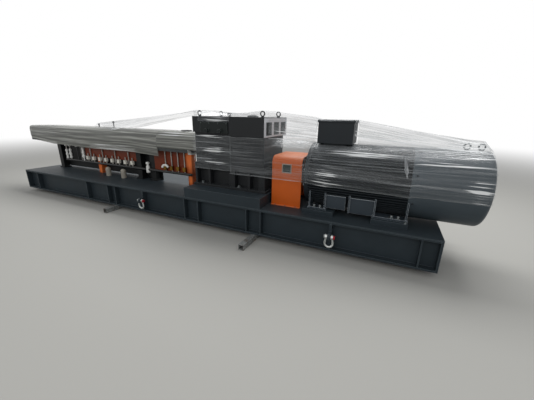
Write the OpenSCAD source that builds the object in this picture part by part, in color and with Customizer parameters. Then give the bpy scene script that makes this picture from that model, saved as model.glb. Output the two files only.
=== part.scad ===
// Twin-screw plastic extruder on a fabricated base frame, with its gearbox and drive motor.
// Millimetres, +Z up. +X runs along the machine from the discharge end to the motor, and the
// machine's centre plane is Y = 0. Z = 0 is the floor under the two steel bearers, and X = 0
// is the middle of the base frame. Places along the machine are measured from the left end
// of the base frame, and heights from its deck.

/* [Base frame] */
// Length of the base frame
base_l = 8120; // [7600:10:8800]
// Width of the base frame over its beams
base_w = 1300; // [1260:10:1500]
// Height of the base frame from the underside of the beams to the deck
base_h = 400; // [380:5:460]
// Thickness of the deck plate
deck_t = 12; // [8:1:20]
// Width of the beam flanges
flange_w = 200; // [180:5:240]
// Thickness of the beam flanges
flange_t = 22; // [16:1:28]
// Thickness of the beam webs
web_t = 14; // [10:1:20]
// Thickness of the plates that close the ends of the frame
end_plate_t = 25; // [16:1:40]
// Thickness of the stiffeners between the flanges
stiffener_t = 16; // [10:1:24]
// How far the stiffeners stay back from the flange edges
stiffener_setback = 6; // [2:1:12]
// Distance of the last stiffener from the right end of the frame
last_bay_l = 205; // [150:5:300]
// Width of the cross members
cross_w = 120; // [80:5:160]

/* [Bearers] */
// Side of the square steel tubes under the frame
bearer_side = 80; // [60:5:100]
// Wall of the square tubes
bearer_wall = 6; // [4:1:10]
// How far the left tube reaches out beyond the frame, front and back
bearer_left_reach = 230; // [150:10:450]
// How far the right tube reaches out beyond the frame, front and back
bearer_right_reach = 370; // [200:10:450]
// Middle of the left tube from the left end of the frame
bearer_left_x = 2890; // [2400:10:3200]
// Middle of the right tube from the left end of the frame
bearer_right_x = 5800; // [5400:10:6300]

/* [Lifting lugs and shackles] */
// Middle of the left lugs from the left end of the frame
lug_left_x = 3610; // [3400:10:3900]
// Middle of the right lugs from the left end of the frame
lug_right_x = 6895; // [6700:10:7200]
// Thickness of the lug plates
lug_t = 34; // [26:1:36]
// Distance of the pin from the flange edge
lug_pin_out = 36; // [32:1:45]
// Height of the pin over the underside of the beams
lug_pin_h = 208; // [200:2:230]
// Radius of the rounded ear round the pin
lug_ear_r = 54; // [45:1:58]
// Diameter of the shackle pin
pin_d = 32; // [26:1:34]
// Diameter of the shackle's bow
bow_d = 28; // [22:1:32]
// Clear width between the shackle's eyes
jaw_w = 46; // [46:1:52]
// Clear width inside the bow
bow_w = 74; // [70:1:86]
// Clear length from the pin to the crown
bow_l = 108; // [100:1:115]
// Outer diameter of the shackle's eyes
eye_d = 62; // [56:1:66]
// Diameter of the pin's head and nut
pin_head_d = 48; // [42:1:54]
// Length of the pin's head and nut
pin_head_l = 19; // [14:1:24]
// Clearance round the pin in the shackle's eyes
eye_gap = 0.3; // [0.2:0.1:0.6]
// Clearance round the pin in the lug's hole
lug_gap = 1.5; // [1:0.5:3]
// Clearance round the pin's head and nut
head_gap = 1; // [0.5:0.5:2]
// Gap left under the pin where it lies in the hole
pin_rest_gap = 0.3; // [0.1:0.1:0.6]

/* [Gearbox pedestal] */
// Left end of the pedestal from the left end of the frame
pedestal_x = 4560; // [4500:10:4700]
// Length of the pedestal
pedestal_l = 1335; // [1320:5:1350]
// Height of the pedestal over the deck
pedestal_h = 155; // [130:5:180]
// Wall thickness of the pedestal
pedestal_wall = 20; // [12:1:30]
// Thickness of the pedestal's top plate
pedestal_top_t = 30; // [20:1:40]

/* [Gearbox] */
// Length of the gearbox housing
gearbox_l = 1250; // [1200:10:1275]
// Depth of the gearbox housing, front to back
gearbox_w = 760; // [700:10:820]
// Height of the gearbox over the pedestal
gearbox_h = 1080; // [1040:10:1160]
// Height of the ribbed lower half over the pedestal
lower_h = 330; // [300:10:380]
// Thickness of the foot flange
foot_t = 34; // [24:1:44]
// How far the foot flange stands out from the housing
foot_reach = 22; // [10:1:26]
// Distance from the pedestal's left end to the foot flange
foot_margin = 12; // [5:1:20]
// Depth of the ribs on the lower half
rib_depth = 105; // [60:5:130]
// Thickness of the thin ribs
rib_t = 36; // [24:1:44]
// Thickness of the wide ribs
rib_wide_t = 95; // [70:5:110]
// Height of the upper housing's proud right-hand case
case_h = 270; // [240:5:320]
// Length of the proud right-hand case
case_l = 550; // [500:5:620]
// How far the case stands out of the housing, front and back
case_reach = 60; // [40:1:80]
// Height of the flush cap over the rest of the upper half
cap_h = 235; // [200:5:260]
// How far the upper half is set back below the cap
body_inset = 22; // [12:1:40]
// Height of the dark cover panel on the left
panel_h = 155; // [120:5:180]
// Gap between the dark cover panel and the proud case on its right
panel_case_gap = 55; // [20:5:90]
// Distance of the cover panel from the gearbox's left end
panel_x = 155; // [120:5:180]
// Distance of the cover panel from the gearbox's top
panel_top = 80; // [40:5:90]
// Thickness of the cover panel
panel_t = 18; // [10:1:26]
// Diameter of the two bosses on the panel
boss_d = 60; // [50:1:70]
// How far the bosses stand out
boss_l = 38; // [24:1:50]
// Distance between the two bosses
boss_pitch = 240; // [180:5:260]
// Thickness of the joint flange between the lower and the upper half
joint_t = 44; // [30:1:60]

/* [Eye bolts] */
// Inside diameter of an eye bolt's ring
ring_inner_d = 46; // [36:1:60]
// Diameter of the steel of the ring
ring_bar_d = 17; // [14:1:22]
// Diameter of the collar under the ring
collar_d = 48; // [36:1:60]
// Height of the collar
collar_h = 16; // [10:1:24]
// Distance of the gearbox's eye bolts from its edges
ring_inset = 85; // [60:5:110]
// Distance of the motor's last eye bolt from the cowl's end
ring_end = 110; // [90:5:200]
// Distance between the motor's two eye bolts
ring_pitch = 140; // [120:5:240]

/* [Motor] */
// Gap between the motor's fins and the deck
motor_gap = 26; // [20:1:60]
// Thickness of the sole plates under the motor's feet
sole_t = 60; // [40:1:70]
// Radius over the motor's fins
motor_r = 442; // [425:1:450]
// Depth of the fins
fin_depth = 38; // [28:1:44]
// Thickness of a fin
fin_t = 9; // [7:1:12]
// Number of fins round the frame
fin_count = 72; // [60:4:84]
// Length of the finned frame
frame_l = 1220; // [1180:10:1260]
// Length of the end shield at the shaft
shield_l = 80; // [60:5:90]
// Thickness of the end shield's rim
shield_rim_t = 56; // [40:2:58]
// How far the shield's rim stays inside the tips of the fins
shield_step = 8; // [4:1:20]
// Diameter of the shield's hub round the shaft
shield_hub_d = 520; // [440:10:600]
// Length of the smooth cowl
cowl_l = 785; // [700:5:860]
// Radius of the cowl's rounded rim
cowl_rim_r = 55; // [35:5:75]
// Radius of the air inlet grille at the cowl's end
grille_r = 330; // [290:5:350]
// Number of rings in the grille
grille_rings = 8; // [6:1:10]
// Depth of the grille's rings
grille_depth = 12; // [6:1:16]
// Diameter of the motor shaft
shaft_d = 110; // [90:5:125]
// How far the feet stay inside the width over the fins, on each side
foot_inside = 12; // [4:1:30]
// Width of each foot plate, front to back
foot_plate_w = 160; // [130:5:170]
// Thickness of the foot plates
foot_plate_t = 26; // [20:1:36]
// Length of the foot plate at the shaft end
foot_de_l = 250; // [230:5:270]
// Length of the foot plate at the cowl end
foot_nde_l = 405; // [380:5:420]
// Distance of the shaft-end foot from the start of the fins
foot_de_x = 20; // [10:2:40]
// How far the cowl-end foot runs out beyond the fins
foot_nde_out = 36; // [20:2:50]
// Thickness of the vertical gussets of the feet
gusset_t = 18; // [12:1:24]
// Distance of the outer gussets from the ends of each foot
gusset_inset = 12; // [6:1:20]
// Height of the gussets' top under the motor's axis
gusset_drop = 165; // [140:5:200]
// How far the gussets stay back from the feet's outer edges
gusset_setback = 8; // [4:1:20]
// How far the side panels stand back behind the gussets' edges
panel_back = 26; // [10:2:40]
// Height of the left side panel's lower edge over the foot plates' tops
panel_lift = 6; // [2:1:20]
// How far the right side panel runs down below the foot plates' tops
panel_drop = 18; // [6:1:24]
// Gap between the left side panel and the middle gusset
panel_gap = 40; // [20:2:60]
// Length of each sole plate
sole_l = 415; // [400:5:430]
// How far the shaft-end sole plate runs out to the left of its foot
sole_de_out = 60; // [40:5:80]
// How far the sole plates reach beyond the feet, front and back
sole_reach = 50; // [30:5:60]
// Clearance between a gusset and the fins it stands against
gusset_gap = 0.3; // [0.2:0.1:0.6]

/* [Terminal box] */
// Length of the terminal box
terminal_l = 460; // [440:10:520]
// Width of the terminal box
terminal_w = 400; // [360:10:440]
// Height of the terminal box
terminal_h = 295; // [250:5:320]
// Left side of the terminal box from the start of the finned frame
terminal_x = 35; // [30:5:120]
// Gap between the terminal box and the top of the fins
terminal_gap = 10; // [4:1:30]
// Thickness of the terminal box's lid
lid_t = 26; // [18:1:32]
// How far the lid stands out
lid_reach = 8; // [4:1:16]
// Side of the neck under the terminal box
neck_side = 300; // [260:10:320]

/* [Coupling and guard] */
// Gap between the gearbox and the guard
guard_gap_left = 90; // [60:5:110]
// Length of the guard along the machine
guard_l = 445; // [400:5:460]
// Gap between the guard and the motor
guard_gap_right = 40; // [30:5:80]
// Width of the guard, front to back
guard_w = 640; // [600:10:700]
// Height of the guard over the deck
guard_h = 720; // [710:5:760]
// Radius of the guard's upper corners
guard_corner_r = 100; // [80:5:105]
// Sheet thickness of the guard
guard_sheet = 4; // [3:0.5:6]
// Width of the guard's bottom flange
guard_lip = 30; // [20:1:34]
// Width of the window in the guard's sides
window_w = 118; // [90:2:140]
// Height of the window
window_h = 105; // [90:5:120]
// Height of the window's middle over the deck
window_z = 552; // [530:2:570]
// Diameter of the coupling
coupling_d = 300; // [260:10:340]
// Diameter of each coupling half
coupling_hub_d = 215; // [180:5:240]
// Length of each coupling half
coupling_half_l = 135; // [110:5:150]
// Thickness of the coupling's middle disc
coupling_disc_t = 40; // [30:1:50]
// Diameter of the bearing cover round the shaft on the gearbox
bearing_cover_d = 230; // [190:5:260]
// Thickness of that bearing cover
bearing_cover_t = 30; // [20:1:40]

/* [Barrel] */
// Height of the barrel's axis over the deck
barrel_z = 785; // [770:5:810]
// Width of the barrel modules
barrel_w = 210; // [180:5:240]
// Height of the barrel modules
barrel_h = 230; // [200:5:250]
// Side of the square flanges of the barrel modules
barrel_flange = 280; // [260:5:300]
// Thickness of each module flange
barrel_flange_t = 36; // [28:1:44]
// Number of barrel modules
barrel_count = 12; // [10:1:13]
// Length of one barrel module
module_l = 385; // [375:1:390]
// Distance between the two screws
screw_pitch = 78; // [72:1:84]
// Diameter of each screw bore
screw_d = 95; // [88:1:98]
// Depth of the screw bores at the discharge end
bore_depth = 60; // [40:5:80]
// Radius of the bolt circle on the discharge flange
discharge_pcd_r = 112; // [106:1:116]
// Number of bolt holes in the discharge flange
discharge_holes = 8; // [6:2:8]
// Radius of the bolt holes in the discharge flange
discharge_hole_r = 9; // [7:1:11]
// Depth of the bolt holes
discharge_hole_l = 30; // [20:1:34]

/* [Barrel cover] */
// Width of the cover, front to back
cover_w = 400; // [380:5:440]
// Height of the cover
cover_h = 325; // [310:5:345]
// Height of the cover's underside over the deck
cover_z = 622; // [615:1:630]
// Radius of the cover's upper corners
cover_corner_r = 60; // [40:5:80]
// Sheet thickness of the cover
cover_sheet = 3; // [2:0.5:5]
// Number of hoods in the cover
cover_count = 4; // [3:1:6]
// Gap between two hoods
cover_gap = 5; // [3:1:10]
// How far the cover runs out beyond the barrel's discharge face
cover_overhang = 98; // [60:1:120]
// How far the cover stops short of the output lantern
cover_back = 40; // [20:5:60]

/* [Lantern and feed] */
// Length of the lantern between the gearbox and the barrel
lantern_l = 260; // [240:5:280]
// Width of the lantern
lantern_w = 300; // [260:5:320]
// Height of the lantern
lantern_h = 300; // [260:5:320]
// Thickness of the lantern's flange on the gearbox
lantern_flange_t = 30; // [20:1:40]
// Radius of the lantern's flange on the gearbox
lantern_flange_r = 208; // [196:2:212]
// Middle of the feed port from the barrel's drive end
feed_x = 190; // [170:5:220]
// Outer diameter of the feed port's flange
feed_flange_d = 190; // [170:5:210]
// Bore of the feed port
feed_bore_d = 110; // [90:5:120]
// Wall of the feed port's neck
feed_wall = 12; // [8:1:16]
// Clearance between the neck and the hole in the cover
feed_gap = 0.4; // [0.3:0.1:0.9]
// How far the feed port stands out of the cover
feed_rise = 45; // [30:5:70]
// Thickness of the feed port's flange
feed_flange_t = 18; // [12:1:24]
// Radius of the bolt circle on the feed port
feed_pcd_r = 76; // [72:1:78]
// Radius of the bolt holes in the feed port
feed_hole_r = 6; // [4:1:7]

/* [Sensor stubs] */
// Diameter of the two stubs on the cover
stub_d = 36; // [30:2:50]
// Height of the first stub over the cover
stub_first_h = 95; // [70:5:110]
// Height of the second stub over the cover
stub_second_h = 150; // [110:5:180]
// First stub from the barrel's discharge face
stub_first_x = 2120; // [2000:10:2200]
// Second stub from the barrel's discharge face
stub_second_x = 2570; // [2450:10:2600]

/* [Barrel supports] */
// Length of a support column along the machine
column_l = 120; // [90:5:180]
// Depth of a support column, front to back
column_w = 120; // [100:5:200]
// Thickness of the plates at a column's head and foot
column_plate_t = 22; // [16:1:28]
// How far those plates stand out
column_plate_reach = 22; // [12:1:40]
// Length of the block between a column's head and the barrel
saddle_l = 60; // [40:5:70]
// First column from the discharge face, counted in barrel modules
column_first = 1.71; // [1.2:0.01:1.8]
// Second column, counted in the same way
column_second = 8.36; // [8.2:0.01:8.8]
// Third column, counted in the same way
column_third = 9.32; // [9.2:0.01:9.8]

/* [Cooling water] */
// Height of the left manifold's underside over the deck
manifold_z = 345; // [340:5:360]
// Height of the left manifold
manifold_h = 185; // [150:5:200]
// Height of the right manifold's underside over the deck
manifold_right_z = 190; // [180:5:200]
// Height of the right manifold
manifold_right_h = 425; // [380:5:430]
// Left end of the left manifold from the discharge face
manifold_start = 1600; // [1570:10:1640]
// Length of the orange posts along the machine
post_l = 100; // [80:5:110]
// Distance of the left post from the left manifold's left end
post_inset = 375; // [350:5:400]
// Left side of the right post from the discharge face
post_right_x = 4445; // [4420:5:4500]
// Diameter of the water pipes
pipe_d = 22; // [16:1:26]
// Diameter of the spigots between the pipes and the manifolds
spigot_d = 14; // [10:1:15]
// Gap between the pipes and the manifolds' front faces
pipe_gap = 6; // [4:1:12]
// Number of pale fittings under the left manifold
fitting_count = 8; // [7:1:9]
// How far the pipe over a fitting reaches up over the manifold's underside
fitting_rise = 60; // [50:5:80]
// Distance of the tall pipes' ends from the manifolds' tops
pipe_end = 15; // [10:1:20]
// Number of pipes on the right manifold
right_count = 4; // [3:1:4]
// Distance between two pipes on the right manifold
right_pitch = 150; // [130:5:155]
// Barrel modules that have a pair of pipes up to their undersides, the first of them
riser_first = 2; // [2:1:3]
// Distance between the two pipes of a pair
riser_pitch = 130; // [110:5:140]
// Diameter of the lower header
header_d = 46; // [40:2:50]
// Height of the lower header's middle over the deck
header_z = 215; // [210:5:225]
// Side of a valve body
valve_side = 60; // [44:2:64]
// Height of a valve body
valve_h = 74; // [60:2:80]
// Width of the dark rail behind the columns
rail_w = 90; // [50:5:110]
// Height of the dark rail
rail_h = 150; // [80:5:160]
// Height of the rail's underside over the deck
rail_z = 40; // [30:5:60]
// Diameter of the round fittings on the deck
round_d = 100; // [80:2:110]
// Height of the round fittings up to their domes
round_h = 135; // [110:5:150]
// First round fitting from the discharge face
round_first = 2425; // [2400:5:2460]
// Second round fitting from the discharge face
round_second = 2875; // [2820:5:2920]
// Gap between a round fitting and the header
round_gap = 14; // [10:1:20]

/* [Hidden] */
$fn = 48;
// A small overlap that makes two shapes of one solid grow together
fuse = 1;

// Heights
beam_h = base_h - deck_t;
beam_z = bearer_side;
deck_z = bearer_side + base_h;
web_gap = beam_h - 2 * flange_t;
pedestal_z = deck_z + pedestal_h;
gearbox_z = pedestal_z + gearbox_h;
motor_z = deck_z + motor_gap + motor_r;
barrel_axis_z = deck_z + barrel_z;
cover_bottom_z = deck_z + cover_z;
cover_top_z = cover_bottom_z + cover_h;

// Places along the machine
function along(d) = d - base_l / 2;
gearbox_left = along(pedestal_x) + foot_reach + foot_margin;
gearbox_right = gearbox_left + gearbox_l;
panel_l = gearbox_l - case_l - panel_x - panel_case_gap;
guard_left = gearbox_right + guard_gap_left;
guard_right = guard_left + guard_l;
motor_left = guard_right + guard_gap_right;
frame_left = motor_left + shield_l;
frame_right = frame_left + frame_l;
cowl_right = frame_right + cowl_l;
lantern_left = gearbox_left - lantern_l;
barrel_right = lantern_left;
barrel_left = barrel_right - barrel_count * module_l;
cover_left = barrel_left - cover_overhang;
cover_right = lantern_left - cover_back;
columns = [for (n = [column_first, column_second, column_third]) barrel_left + n * module_l];

// Colours of the real finishes
paint_dark = "#2c3134";
paint_orange = "#d2601e";
paint_motor = "#2a2f32";
steel_bare = "#8d8f8c";
zinc = "#c9ccca";
pin_red = "#b3261e";
brass = "#a98436";

// A box between two corners
module block(low, high) {
    translate(low) cube(high - low);
}

// A flat shape in the Y-Z plane, drawn as (Y, Z), given a length along X from x
module along_x(x, length) {
    translate([x, 0, 0]) rotate([90, 0, 90]) linear_extrude(height = length) children();
}

// A round bar along X
module bar_x(x, length, y, z, d) {
    translate([x, y, z]) rotate([0, 90, 0]) cylinder(h = length, d = d);
}

// Both long sides of the machine
module both_sides() {
    children();
    mirror([0, 1, 0]) children();
}

// Section of a rolled beam standing on its lower flange, middle of the web at Y = 0
module beam_section(width, height) {
    translate([-width / 2, 0]) square([width, flange_t]);
    translate([-width / 2, height - flange_t]) square([width, flange_t]);
    translate([-web_t / 2, 0]) square([web_t, height]);
}

module long_beam() {
    translate([0, -base_w / 2 + flange_w / 2, beam_z])
        along_x(-base_l / 2 + end_plate_t, base_l - 2 * end_plate_t)
            beam_section(flange_w, beam_h);
}

module base_beam_front() {
    color(paint_dark) long_beam();
}

module base_beam_back() {
    color(paint_dark) mirror([0, 1, 0]) long_beam();
}

module end_plate(x) {
    color(paint_dark)
        block([x, -base_w / 2, beam_z], [x + end_plate_t, base_w / 2, beam_z + beam_h]);
}

module base_end_left() {
    end_plate(-base_l / 2);
}

module base_end_right() {
    end_plate(base_l / 2 - end_plate_t);
}

// Cross members between the inner edges of the long beams' flanges
cross_places = [900, 1900, bearer_left_x, 3600, pedestal_x + cross_w, 5300, bearer_right_x,
    6600, base_l - 3 * last_bay_l];
module base_cross_members() {
    inner = base_w / 2 - flange_w;
    color(paint_dark)
        for (place = cross_places)
            translate([along(place), -inner, beam_z])
                rotate([90, 0, 180]) linear_extrude(height = 2 * inner)
                    beam_section(cross_w, beam_h);
}

module deck_plate() {
    color(paint_dark)
        block([-base_l / 2, -base_w / 2, deck_z - deck_t], [base_l / 2, base_w / 2, deck_z]);
}

// Stiffeners between the flanges, also a close pair at each splice of the frame
stiffener_places = [420, 2090, 2700, 2900, 4530, 4800, 5670, 5900, base_l - last_bay_l];
module stiffener_row() {
    outer = -base_w / 2 + stiffener_setback;
    web_face = -base_w / 2 + (flange_w - web_t) / 2;
    for (place = stiffener_places)
        block([along(place) - stiffener_t / 2, outer, beam_z + flange_t],
            [along(place) + stiffener_t / 2, web_face, beam_z + flange_t + web_gap]);
}

module stiffeners_front() {
    color(paint_dark) stiffener_row();
}

module stiffeners_back() {
    color(paint_dark) mirror([0, 1, 0]) stiffener_row();
}

module bearer(place, reach) {
    half = base_w / 2 + reach;
    x = along(place);
    color(steel_bare)
        difference() {
            block([x - bearer_side / 2, -half, 0], [x + bearer_side / 2, half, bearer_side]);
            block([x - bearer_side / 2 + bearer_wall, -half - fuse, bearer_wall],
                [x + bearer_side / 2 - bearer_wall, half + fuse, bearer_side - bearer_wall]);
        }
}

module bearer_left() {
    bearer(bearer_left_x, bearer_left_reach);
}

module bearer_right() {
    bearer(bearer_right_x, bearer_right_reach);
}

// A lug plate from the web out past the flange edge, with a rounded ear and a pin hole
pin_y = -base_w / 2 - lug_pin_out;
pin_z = beam_z + lug_pin_h;
module lug_outline() {
    web_face = -base_w / 2 + (flange_w - web_t) / 2;
    difference() {
        union() {
            translate([-base_w / 2, beam_z + flange_t])
                square([web_face + base_w / 2, web_gap]);
            translate([pin_y, pin_z - lug_ear_r])
                square([lug_pin_out + fuse, 2 * lug_ear_r]);
            translate([pin_y, pin_z]) circle(r = lug_ear_r);
        }
        // The pin lies on the bottom of its hole
        translate([pin_y, pin_z + lug_gap - pin_rest_gap]) circle(d = pin_d + 2 * lug_gap);
    }
}

module lifting_lugs() {
    color(paint_dark)
        both_sides()
            for (place = [lug_left_x, lug_right_x])
                along_x(along(place) - lug_t / 2, lug_t) lug_outline();
}

// Bow shackle hanging from its pin at the origin, the pin along X.
// The legs run from the eyes and touch the crown's circle.
crown_r = (bow_w + bow_d) / 2;
eye_x = (jaw_w + bow_d) / 2;
crown_drop = bow_l + pin_d / 2 + bow_d / 2 - crown_r;
leg_reach = sqrt(eye_x * eye_x + crown_drop * crown_drop);
leg_l = sqrt(leg_reach * leg_reach - crown_r * crown_r);
// Direction of the tangent point, counted from +X round the crown's middle
touch_angle = atan2(crown_drop, eye_x) - acos(crown_r / leg_reach);
module shackle_bow() {
    difference() {
        union() {
            translate([0, 0, -crown_drop]) rotate([90, 0, 0])
                rotate([0, 0, 180 - touch_angle])
                    rotate_extrude(angle = 180 + 2 * touch_angle)
                        translate([crown_r, 0]) circle(d = bow_d);
            for (side = [-1, 1])
                translate([side * crown_r * cos(touch_angle), 0,
                    -crown_drop + crown_r * sin(touch_angle)])
                    rotate([0, -side * touch_angle, 0]) cylinder(h = leg_l, d = bow_d);
            for (side = [-1, 1])
                translate([side * eye_x, 0, 0]) rotate([0, 90, 0])
                    cylinder(h = bow_d, d = eye_d, center = true);
        }
        rotate([0, 90, 0])
            cylinder(h = 2 * crown_r + 2 * bow_d, d = pin_d + 2 * eye_gap, center = true);
        block([-jaw_w / 2, -eye_d, -eye_d / 2 - fuse], [jaw_w / 2, eye_d, eye_d]);
        // Flat faces for the pin's head and nut
        for (side = [-1, 1])
            translate([side * (jaw_w / 2 + bow_d + pin_head_l), 0, 0]) rotate([0, 90, 0])
                cylinder(h = 2 * pin_head_l, d = pin_head_d + 2 * head_gap, center = true);
    }
}

module shackle_pin() {
    outer = eye_x + bow_d / 2;
    rotate([0, 90, 0]) {
        cylinder(h = 2 * outer + 2 * fuse, d = pin_d, center = true);
        translate([0, 0, outer]) cylinder(h = pin_head_l, d = pin_head_d);
        translate([0, 0, -outer - pin_head_l]) cylinder(h = pin_head_l, d = pin_head_d, $fn = 6);
    }
}

// Puts a shackle part at a lug: place from the left end, side -1 front or 1 back
module at_lug(place, side) {
    translate([along(place), -side * pin_y, pin_z]) children();
}

module shackle_front_left() {
    color(zinc) at_lug(lug_left_x, -1) shackle_bow();
}

module shackle_front_right() {
    color(zinc) at_lug(lug_right_x, -1) shackle_bow();
}

module shackle_back_left() {
    color(zinc) at_lug(lug_left_x, 1) shackle_bow();
}

module shackle_back_right() {
    color(zinc) at_lug(lug_right_x, 1) shackle_bow();
}

module pin_front_left() {
    color(pin_red) at_lug(lug_left_x, -1) shackle_pin();
}

module pin_front_right() {
    color(pin_red) at_lug(lug_right_x, -1) shackle_pin();
}

module pin_back_left() {
    color(pin_red) at_lug(lug_left_x, 1) shackle_pin();
}

module pin_back_right() {
    color(pin_red) at_lug(lug_right_x, 1) shackle_pin();
}

// Raised box that carries the gearbox, open underneath on the deck
module gearbox_pedestal() {
    left = along(pedestal_x);
    right = left + pedestal_l;
    color(paint_dark)
        difference() {
            block([left, -base_w / 2, deck_z], [right, base_w / 2, pedestal_z]);
            block([left + pedestal_wall, -base_w / 2 + pedestal_wall, deck_z - fuse],
                [right - pedestal_wall, base_w / 2 - pedestal_wall, pedestal_z - pedestal_top_t]);
        }
}

// Ribbed lower half of the gearbox on its foot flange. The ribs between the two end ones are
// placed by their share of the housing's length.
ribs = [[gearbox_left, rib_t],
    [gearbox_left + 0.205 * gearbox_l, rib_t],
    [gearbox_left + 0.52 * gearbox_l, rib_wide_t],
    [gearbox_left + 0.775 * gearbox_l, rib_t],
    [gearbox_right - rib_wide_t, rib_wide_t]];
module gearbox_lower() {
    half = gearbox_w / 2;
    lower_top = pedestal_z + lower_h;
    color(paint_dark)
        union() {
            block([gearbox_left - foot_reach, -half - foot_reach, pedestal_z],
                [gearbox_right + foot_reach, half + foot_reach, pedestal_z + foot_t]);
            block([gearbox_left, -half + rib_depth, pedestal_z],
                [gearbox_right, half - rib_depth, lower_top]);
            block([gearbox_left, -half, lower_top - joint_t],
                [gearbox_right, half, lower_top]);
            for (rib = ribs)
                block([rib[0], -half, pedestal_z], [rib[0] + rib[1], half, lower_top]);
        }
}

// Upper half with the proud case on the right
module gearbox_upper() {
    half = gearbox_w / 2;
    lower_top = pedestal_z + lower_h;
    color(paint_dark)
        union() {
            block([gearbox_left, -half, lower_top], [gearbox_right, half, lower_top + joint_t]);
            block([gearbox_left + body_inset, -half + body_inset, lower_top],
                [gearbox_right - body_inset, half - body_inset, gearbox_z]);
            block([gearbox_left, -half, gearbox_z - cap_h], [gearbox_right, half, gearbox_z]);
            block([gearbox_right - case_l, -half - case_reach, gearbox_z - case_h],
                [gearbox_right, half + case_reach, gearbox_z]);
        }
}

// Dark cover panels on the left of the upper half, each with two round bosses
module gearbox_panels() {
    half = gearbox_w / 2;
    left = gearbox_left + panel_x;
    top = gearbox_z - panel_top;
    middle = left + panel_l / 2;
    color("#17201f")
        both_sides()
            union() {
                block([left, -half - panel_t, top - panel_h], [left + panel_l, -half, top]);
                for (side = [-1, 1])
                    translate([middle + side * boss_pitch / 2, -half - panel_t + fuse,
                        top - panel_h + boss_d / 2])
                        rotate([90, 0, 0]) cylinder(h = boss_l, d = boss_d);
            }
}

// Eye bolt standing on Z = 0, its ring in the X-Z plane
module eye_bolt() {
    ring_r = (ring_inner_d + ring_bar_d) / 2;
    cylinder(h = collar_h, d = collar_d);
    translate([0, 0, collar_h + ring_r]) rotate([90, 0, 0])
        rotate_extrude() translate([ring_r, 0]) circle(d = ring_bar_d);
}

module gearbox_eye_bolts() {
    y = gearbox_w / 2 - ring_inset;
    color(paint_dark)
        for (x = [gearbox_left + ring_inset, gearbox_right - ring_inset], side = [-1, 1])
            translate([x, side * y, gearbox_z]) eye_bolt();
}

// Housing between the gearbox and the barrel
module output_lantern() {
    color(paint_dark)
        union() {
            block([lantern_left, -lantern_w / 2, barrel_axis_z - lantern_h / 2],
                [gearbox_left, lantern_w / 2, barrel_axis_z + lantern_h / 2]);
            bar_x(gearbox_left - lantern_flange_t, lantern_flange_t + body_inset, 0, barrel_axis_z,
                2 * lantern_flange_r);
        }
}

// Shaft ends, the bearing cover on the gearbox and the two coupling halves with a disc
// between them
module coupling() {
    middle = (gearbox_right + motor_left) / 2;
    color("#6d7072")
        union() {
            bar_x(gearbox_right, motor_left - gearbox_right, 0, motor_z, shaft_d);
            bar_x(gearbox_right, bearing_cover_t, 0, motor_z, bearing_cover_d);
            for (side = [-1, 1])
                bar_x(middle + side * (coupling_disc_t + coupling_half_l) / 2
                    - coupling_half_l / 2, coupling_half_l, 0, motor_z, coupling_hub_d);
            bar_x(middle - coupling_disc_t / 2 - fuse, coupling_disc_t + 2 * fuse, 0, motor_z,
                coupling_d);
        }
}

// Outline of the guard's tunnel, drawn as (Y, Z) over the deck, with rounded upper corners
module tunnel_outline(width, height, corner) {
    translate([-width / 2, 0]) square([width, height - corner]);
    translate([-width / 2 + corner, 0]) square([width - 2 * corner, height]);
    for (side = [-1, 1])
        translate([side * (width / 2 - corner), height - corner]) circle(r = corner);
}

// Sheet-metal guard over the coupling with a window and a bottom lip on each side
module coupling_guard() {
    color(paint_orange)
        difference() {
            union() {
                translate([0, 0, deck_z]) along_x(guard_left, guard_l)
                    difference() {
                        tunnel_outline(guard_w, guard_h, guard_corner_r);
                        translate([0, -fuse])
                            tunnel_outline(guard_w - 2 * guard_sheet,
                                guard_h - guard_sheet + fuse, guard_corner_r - guard_sheet);
                    }
                both_sides()
                    block([guard_left, -guard_w / 2 - guard_lip, deck_z],
                        [guard_right, -guard_w / 2 + guard_sheet, deck_z + guard_sheet]);
            }
            block([(guard_left + guard_right - window_w) / 2, -guard_w,
                deck_z + window_z - window_h / 2],
                [(guard_left + guard_right + window_w) / 2, guard_w,
                deck_z + window_z + window_h / 2]);
        }
}

// Outline of the finned frame: each fin has two tip points and two root points
fin_root_r = motor_r - fin_depth;
fin_step = 360 / fin_count;
function fin_point(r, centre, offset) =
    [r * cos(centre) - offset * sin(centre), r * sin(centre) + offset * cos(centre)];
fin_outline = [for (i = [0 : fin_count - 1], corner = [0 : 3])
    let (centre = i * fin_step,
        r = corner == 0 || corner == 3 ? fin_root_r : motor_r,
        offset = corner < 2 ? -fin_t / 2 : fin_t / 2)
    fin_point(r, centre, offset)];
module motor_frame() {
    color(paint_motor)
        union() {
            translate([0, 0, motor_z]) along_x(frame_left, frame_l) polygon(fin_outline);
            block([frame_left + terminal_x + (terminal_l - neck_side) / 2, -neck_side / 2,
                motor_z + motor_r / 2],
                [frame_left + terminal_x + (terminal_l + neck_side) / 2, neck_side / 2,
                motor_z + motor_r + terminal_gap]);
        }
}

module motor_end_shield() {
    color(paint_motor)
        union() {
            bar_x(frame_left - shield_rim_t, shield_rim_t, 0, motor_z,
                2 * (motor_r - shield_step));
            bar_x(motor_left, shield_l, 0, motor_z, shield_hub_d);
        }
}

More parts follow.
